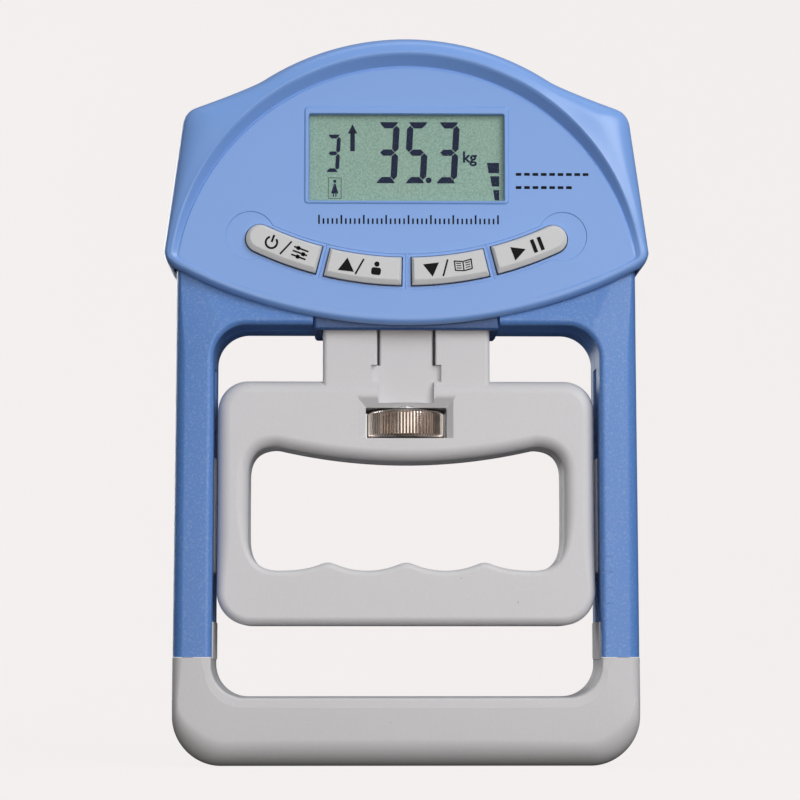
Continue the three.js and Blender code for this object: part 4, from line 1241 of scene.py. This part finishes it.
def seven_segment(digit, left, bottom, width, height, thick, slant=0.055):
    """The outlines of one slanted digit."""
    half, gap = thick / 2, 0.12
    top, middle, right = bottom + height, bottom + height / 2, left + width

    def level(z, cut_low, cut_high):
        x0, x1 = left + half + gap, right - half - gap
        return [(x0, z), (x0 + half * cut_low, z - half), (x1 - half * cut_low, z - half), (x1, z),
                (x1 - half * cut_high, z + half), (x0 + half * cut_high, z + half)]

    def upright(x, z0, z1):
        z0, z1 = z0 + gap, z1 - gap
        return [(x, z0), (x + half, z0 + half), (x + half, z1 - half), (x, z1), (x - half, z1 - half),
                (x - half, z0 + half)]

    shapes = {
        "a": level(top - half, 1, -0.6), "g": level(middle, 1, 1), "d": level(bottom + half, -0.6, 1),
        "b": upright(right - half, middle, top - half), "c": upright(right - half, bottom + half, middle),
        "f": upright(left + half, middle, top - half), "e": upright(left + half, bottom + half, middle),
    }
    lean = np.array([[1, 0], [slant, 1]])
    start = np.array([left, bottom])
    return [(np.array(shapes[s]) - start) @ lean + start for s in SEGMENTS[digit]]


def lcd_marks():
    """The driven segments: a reading, a memory number, an arrow, a person and a level. The unit is drawn by
    unit_text.
    """
    height = glass_high[2] - glass_low[2]
    half = glass_high[0]
    shapes = []

    def z(share):
        return glass_low[2] + share * height

    for digit, left in (("3", -0.327), ("5", -0.026), ("3", 0.291)):
        shapes += seven_segment(digit, left * half, z(0.215), DIGIT_WIDTH, 0.71 * height, DIGIT_STROKE)
    shapes.append(circle((0.228 * half, z(0.25)), 0.78, 24))
    shapes += seven_segment("3", -0.836 * half, z(0.342), SMALL_DIGIT_WIDTH, 0.435 * height,
                            SMALL_DIGIT_STROKE)
    arrow_x = -0.555 * half
    shapes.append(box_outline(arrow_x - 0.6, arrow_x + 0.6, z(0.585), z(0.82), 0.05, 2))
    shapes.append([(arrow_x - 1.25, z(0.79)), (arrow_x + 1.25, z(0.79)), (arrow_x, z(0.9))])
    person_x = -0.737 * half
    shapes += [circle((person_x, z(0.235)), 0.42, 20),
               [(person_x - 0.95, z(0.095)), (person_x + 0.95, z(0.095)), (person_x + 0.18, z(0.21)),
                (person_x - 0.18, z(0.21))]]
    shapes += [box_outline(person_x + s * 0.32 - 0.14, person_x + s * 0.32 + 0.14, z(0.055), z(0.1), 0.03, 2)
               for s in (-1, 1)]
    for level, reach_in in ((0.335, 3.2), (0.18, 2.35), (0.02, 1.6)):
        right = 0.952 * half
        shapes.append([(right - reach_in + 0.45, z(level)), (right, z(level)), (right, z(level + 0.12)),
                       (right - reach_in, z(level + 0.12))])
    return shapes


def pictogram_frame():
    """The thin box round the person on the display."""
    x, low = -0.737 * glass_high[0], glass_low[2]
    outer = box_outline(x - 1.75, x + 1.75, low + 0.75, low + 6.4, 0.2, 3)
    inner = inset(outer, 0.13)
    back = LCD_FRONT - LCD_INK
    return layered("pictogram_frame", (outer, back), (outer, LCD_FRONT), (inner, LCD_FRONT), (inner, back),
                   closed=True)


def unit_text():
    """The unit after the reading."""
    curve = bpy.data.curves.new("unit", "FONT")
    curve.body = "kg"
    curve.size = 4.1 * MM
    curve.offset = 0.11 * MM
    curve.extrude = 0.02 * MM
    text = add("unit", curve)
    place = Vector((0.575 * glass_high[0], LCD_FRONT - LCD_INK / 2, glass_low[2] + 10.6)) * MM
    text.matrix_world = Matrix.Translation(place) @ Matrix.Rotation(math.radians(90), 4, "X")
    bpy.context.view_layer.update()
    mesh = bpy.data.meshes.new_from_object(text.evaluated_get(bpy.context.evaluated_depsgraph_get()))
    mesh.transform(text.matrix_world)
    mesh.materials.clear()
    bpy.data.objects.remove(text)
    return add("display_unit", mesh)


def display():
    """The display cell, its marks and the clear pane over them."""
    field = face_outline(cell_low, cell_high, 0, 0.3, 3)
    dress(plate("lcd_field", field, LCD_FRONT, cell_high[1], 0.1), "frame", LCD, ["lcd_cell"])
    marks = [plate(f"mark_{k}", counter_clockwise(np.array(shape, float)), LCD_FRONT - LCD_INK, LCD_FRONT)
             for k, shape in enumerate(lcd_marks())]
    dress(merge([*marks, pictogram_frame(), unit_text()], "lcd_marks"), "frame", SEGMENT)
    pane = face_outline(glass_low, glass_high, -PANE_GAP, 0.45, 4)
    window = plate("display_pane", pane, PANEL_Y + 1.05, PANEL_Y + 1.35, 0.04)
    dress(window, "frame", WINDOW, ["display_window"])


RULER_MIDDLE = 0.5
RULER_DROP = 6.2
RULER_PITCH = 1.17
RULER_LONG = 2.4
RULER_SHORT = 1.5
DASH_START = (28.6, 153.9)
DASH_PITCH = 2.2
DASH_LENGTH = 1.5
DASH_ROW = 3.5


def panel_print():
    """Plain printed rules in place of lettering: a row under the display and two at its right."""
    flats = []
    low = glass_low[2] - RULER_DROP
    for k in range(-20, 21):
        x = RULER_MIDDLE + RULER_PITCH * k
        tall = RULER_SHORT if k % 5 else RULER_LONG
        flats.append(box_outline(x - 0.22, x + 0.22, low, low + tall, 0.05, 2))
    for row, count in enumerate((9, 7)):
        z = DASH_START[1] - DASH_ROW * row
        for k in range(count):
            x = DASH_START[0] + DASH_PITCH * k
            flats.append(box_outline(x, x + DASH_LENGTH, z - 0.38, z + 0.38, 0.1, 2))
    marks = [plate(f"print_{k}", f, PANEL_Y - 0.035, PANEL_Y + 0.02) for k, f in enumerate(flats)]
    dress(merge(marks, "panel_print"), "frame", PRINT)


# ---- battery compartment

THUMB_DROP = 5.2
THUMB_HALF = 8
THUMB_RIB_PITCH = 0.9
DOOR_LINES = (3.0, 5.0, 7.0)
DOOR_LINE_HALF = 20
BAND_WIDTH = 11


def battery_door():
    """The door, with a ribbed thumb recess and three lines across its lower end."""
    outline = face_outline(door_low, door_high, 0, 1.5)
    front, back = door_low[1], door_high[1]
    panel = layered("battery_door_fine", (outline, front), (outline, back - 0.4),
                    (inset(outline, 0.12), back - 0.12), (inset(outline, 0.4), back))
    middle = door_high[2] - THUMB_DROP
    thumb = bar(0, middle, THUMB_HALF, 2.4, 2.3, 10)
    tools = [layered("thumb_recess", (inset(thumb, 0.5), back - 0.9), (thumb, back - 0.2),
                     (inset(thumb, -0.3), back + 0.5))]
    for rise in DOOR_LINES:
        z = door_low[2] + rise
        tools.append(plate("door_line", bar(0, z, DOOR_LINE_HALF, 0.3, 0.25, 4), back - 0.3, back + 1))
    cut(panel, *tools)
    ribs = []
    for k in range(4):
        z = middle + THUMB_RIB_PITCH * (k - 1.5)
        rib = bar(0, z, THUMB_HALF - 2, 0.2, 0.18, 4)
        ribs.append(plate(f"thumb_rib_{k}", rib, back - 1, back - 0.45, 0.1))
    dress(panel, "battery_door", SATIN_BLUE, ["battery_door"])
    dress(merge(ribs, "thumb_ribs"), "battery_door", SATIN_BLUE)


def batteries():
    """Two plain cells: a dark film, a band at the positive end, and bare metal ends."""
    for node, side in (("battery_1", 1), ("battery_2", -1)):
        low, high = extent(node)
        y, z = (low[1] + high[1]) / 2, (low[2] + high[2]) / 2
        radius = (high[2] - low[2]) / 2
        tip = high[0] if side > 0 else -low[0]
        base = -low[0] if side > 0 else high[0]
        band = base - BAND_WIDTH
        profile = [
            (0.01, -base), (radius - 1.6, -base), (radius - 1.4, 0.15 - base), (radius - 0.5, 0.05 - base),
            (radius - 0.1, 0.3 - base), (radius, 0.6 - base), (radius, band), (radius, band + 0.1),
            (radius, base - 0.7), (radius - 0.15, base - 0.35), (radius - 0.7, base - 0.25),
            (radius - 0.9, base - 0.4), (2.0, base - 0.3), (1.9, base - 0.1), (1.9, tip - 0.2), (1.7, tip),
            (0.01, tip),
        ]
        ring = circle((0, 0), 1, 72)
        loops = [np.column_stack([np.full(72, side * x), ring * r + [y, z]]) for r, x in profile]
        cell = skin(node + "_fine", loops)
        for material in (BATTERY_FILM, BATTERY_BAND, STEEL):
            cell.data.materials.append(material)
        for face in cell.data.polygons:
            along = side * face.center[0] / MM
            out = math.hypot(face.center[1] / MM - y, face.center[2] / MM - z)
            if out < radius - 0.45:
                face.material_index = 2
            elif along > band + 0.05:
                face.material_index = 1
        dress(cell, "frame", BATTERY_FILM, [node])


# ---- what stays as it was in CAD

def dress_cad_nodes():
    """Gives every CAD node that still shows the material of its slot."""
    slots = {part["node"]: part["material_slot"] for part in frame["record"]["subparts"]}
    for node, obj in frame["nodes"].items():
        if obj.hide_render:
            continue
        obj.data.materials.clear()
        obj.data.materials.append(BY_SLOT[slots[node]])
        for face in obj.data.polygons:
            face.use_smooth = True
        obj.data.set_sharp_from_angle(angle=math.radians(38))


# ---- stage, light and camera

SWEEP_HALF = 3000
SWEEP_FRONT = -2600
SWEEP_START = 600
SWEEP_RADIUS = 500


def backdrop():
    """A pale floor that sweeps up behind the object."""
    profile = [(SWEEP_FRONT, 0), (SWEEP_START, 0)]
    for angle in np.radians(np.linspace(6, 90, 15)):
        profile.append((SWEEP_START + SWEEP_RADIUS * math.sin(angle), SWEEP_RADIUS * (1 - math.cos(angle))))
    profile.append((SWEEP_START + SWEEP_RADIUS, SWEEP_HALF))
    points = [(side * SWEEP_HALF, y, z - 0.05) for side in (-1, 1) for y, z in profile]
    count = len(profile)
    faces = [(k, k + 1, count + k + 1, count + k) for k in range(count - 1)]
    sweep = build("backdrop", points, faces)
    shader = Shader("backdrop")
    shader.set(Roughness=1.0, Specular_IOR_Level=0.0)
    paper = shader.spread(shader.noise(300, 2), 0, 1)
    shader.colour(shader.blend(paper, [0.03, 0.03, 0.03], [0.04, 0.04, 0.04]))
    shader.set(Emission_Color=[*linear(244, 240, 239), 1], Emission_Strength=0.965)
    sweep.data.materials.append(shader.material)
    sweep.data.shade_smooth()
    sweep.visible_diffuse = False
    sweep.visible_glossy = False


def aim(obj, place, target):
    """Puts a light or camera at a place, in metres, and points it at a target."""
    obj.location = place
    obj.rotation_euler = (Vector(target) - Vector(place)).to_track_quat("-Z", "Y").to_euler()


def softbox(name, place, target, size, power, tint=(1, 1, 1)):
    """A rectangular light, its sizes in metres and its power in watts."""
    light = bpy.data.lights.new(name, "AREA")
    light.shape = "RECTANGLE"
    light.size, light.size_y = size
    light.energy = power
    light.color = tint
    obj = add(name, light)
    aim(obj, place, target)
    obj.visible_camera = False


def studio():
    """Five softboxes, and a pale surrounding that's brighter above and in front."""
    middle = (0, 0, 0.1)
    softbox("key", (0.66, -0.85, 0.66), middle, (0.6, 0.6), 7.4)
    softbox("top", (0.05, -0.12, 1.15), middle, (0.8, 0.5), 1.8)
    softbox("front", (0.12, -1.4, 0.2), middle, (1.3, 0.8), 5.5, (1, 0.98, 0.965))
    softbox("back", (-0.6, 0.95, 0.35), middle, (0.6, 0.6), 4.5)
    softbox("bounce", (0.0, -0.55, 0.02), (0, 0, 0.12), (0.9, 0.05), 0.8, (1, 0.86, 0.76))
    world = bpy.data.worlds.new("studio")
    bpy.context.scene.world = world
    world.use_nodes = True
    nodes, links = world.node_tree.nodes, world.node_tree.links
    background = nodes["Background"]
    direction = nodes.new("ShaderNodeTexCoord")
    parts = nodes.new("ShaderNodeSeparateXYZ")
    links.new(direction.outputs["Generated"], parts.inputs["Vector"])
    above = map_range(nodes, links, parts.outputs["Z"], -0.05, 0.9, 0.015, 0.3)
    in_front = map_range(nodes, links, parts.outputs["Y"], -1.0, -0.6, 0.26, 0.0)
    total = nodes.new("ShaderNodeMath")
    total.operation = "ADD"
    links.new(above, total.inputs[0])
    links.new(in_front, total.inputs[1])
    links.new(total.outputs["Value"], background.inputs["Strength"])
    background.inputs["Color"].default_value = (1.0, 0.985, 0.975, 1)
    bpy.context.scene.view_settings.view_transform = "Standard"


CAMERA_PLACE = (-0.012, -0.647, 0.028)
CAMERA_TARGET = (-0.0015, 0, 0.0959)
CAMERA_LENS = 110.35


def camera():
    """The photo's view: a long lens, low down and tilted up a little."""
    data = bpy.data.cameras.new("camera")
    data.lens = CAMERA_LENS
    data.sensor_width = 36
    data.clip_start = 0.01
    obj = add("camera", data)
    aim(obj, CAMERA_PLACE, CAMERA_TARGET)
    bpy.context.scene.camera = obj


# ---- the whole scene

camera()
studio()
backdrop()
head_front()
head_back()
frame_and_grip()
collar()
handle()
guide_shoes()
knurled_knob()
button_caps()
button_symbols()
display()
panel_print()
battery_door()
batteries()
cross_screws()
dress_cad_nodes()
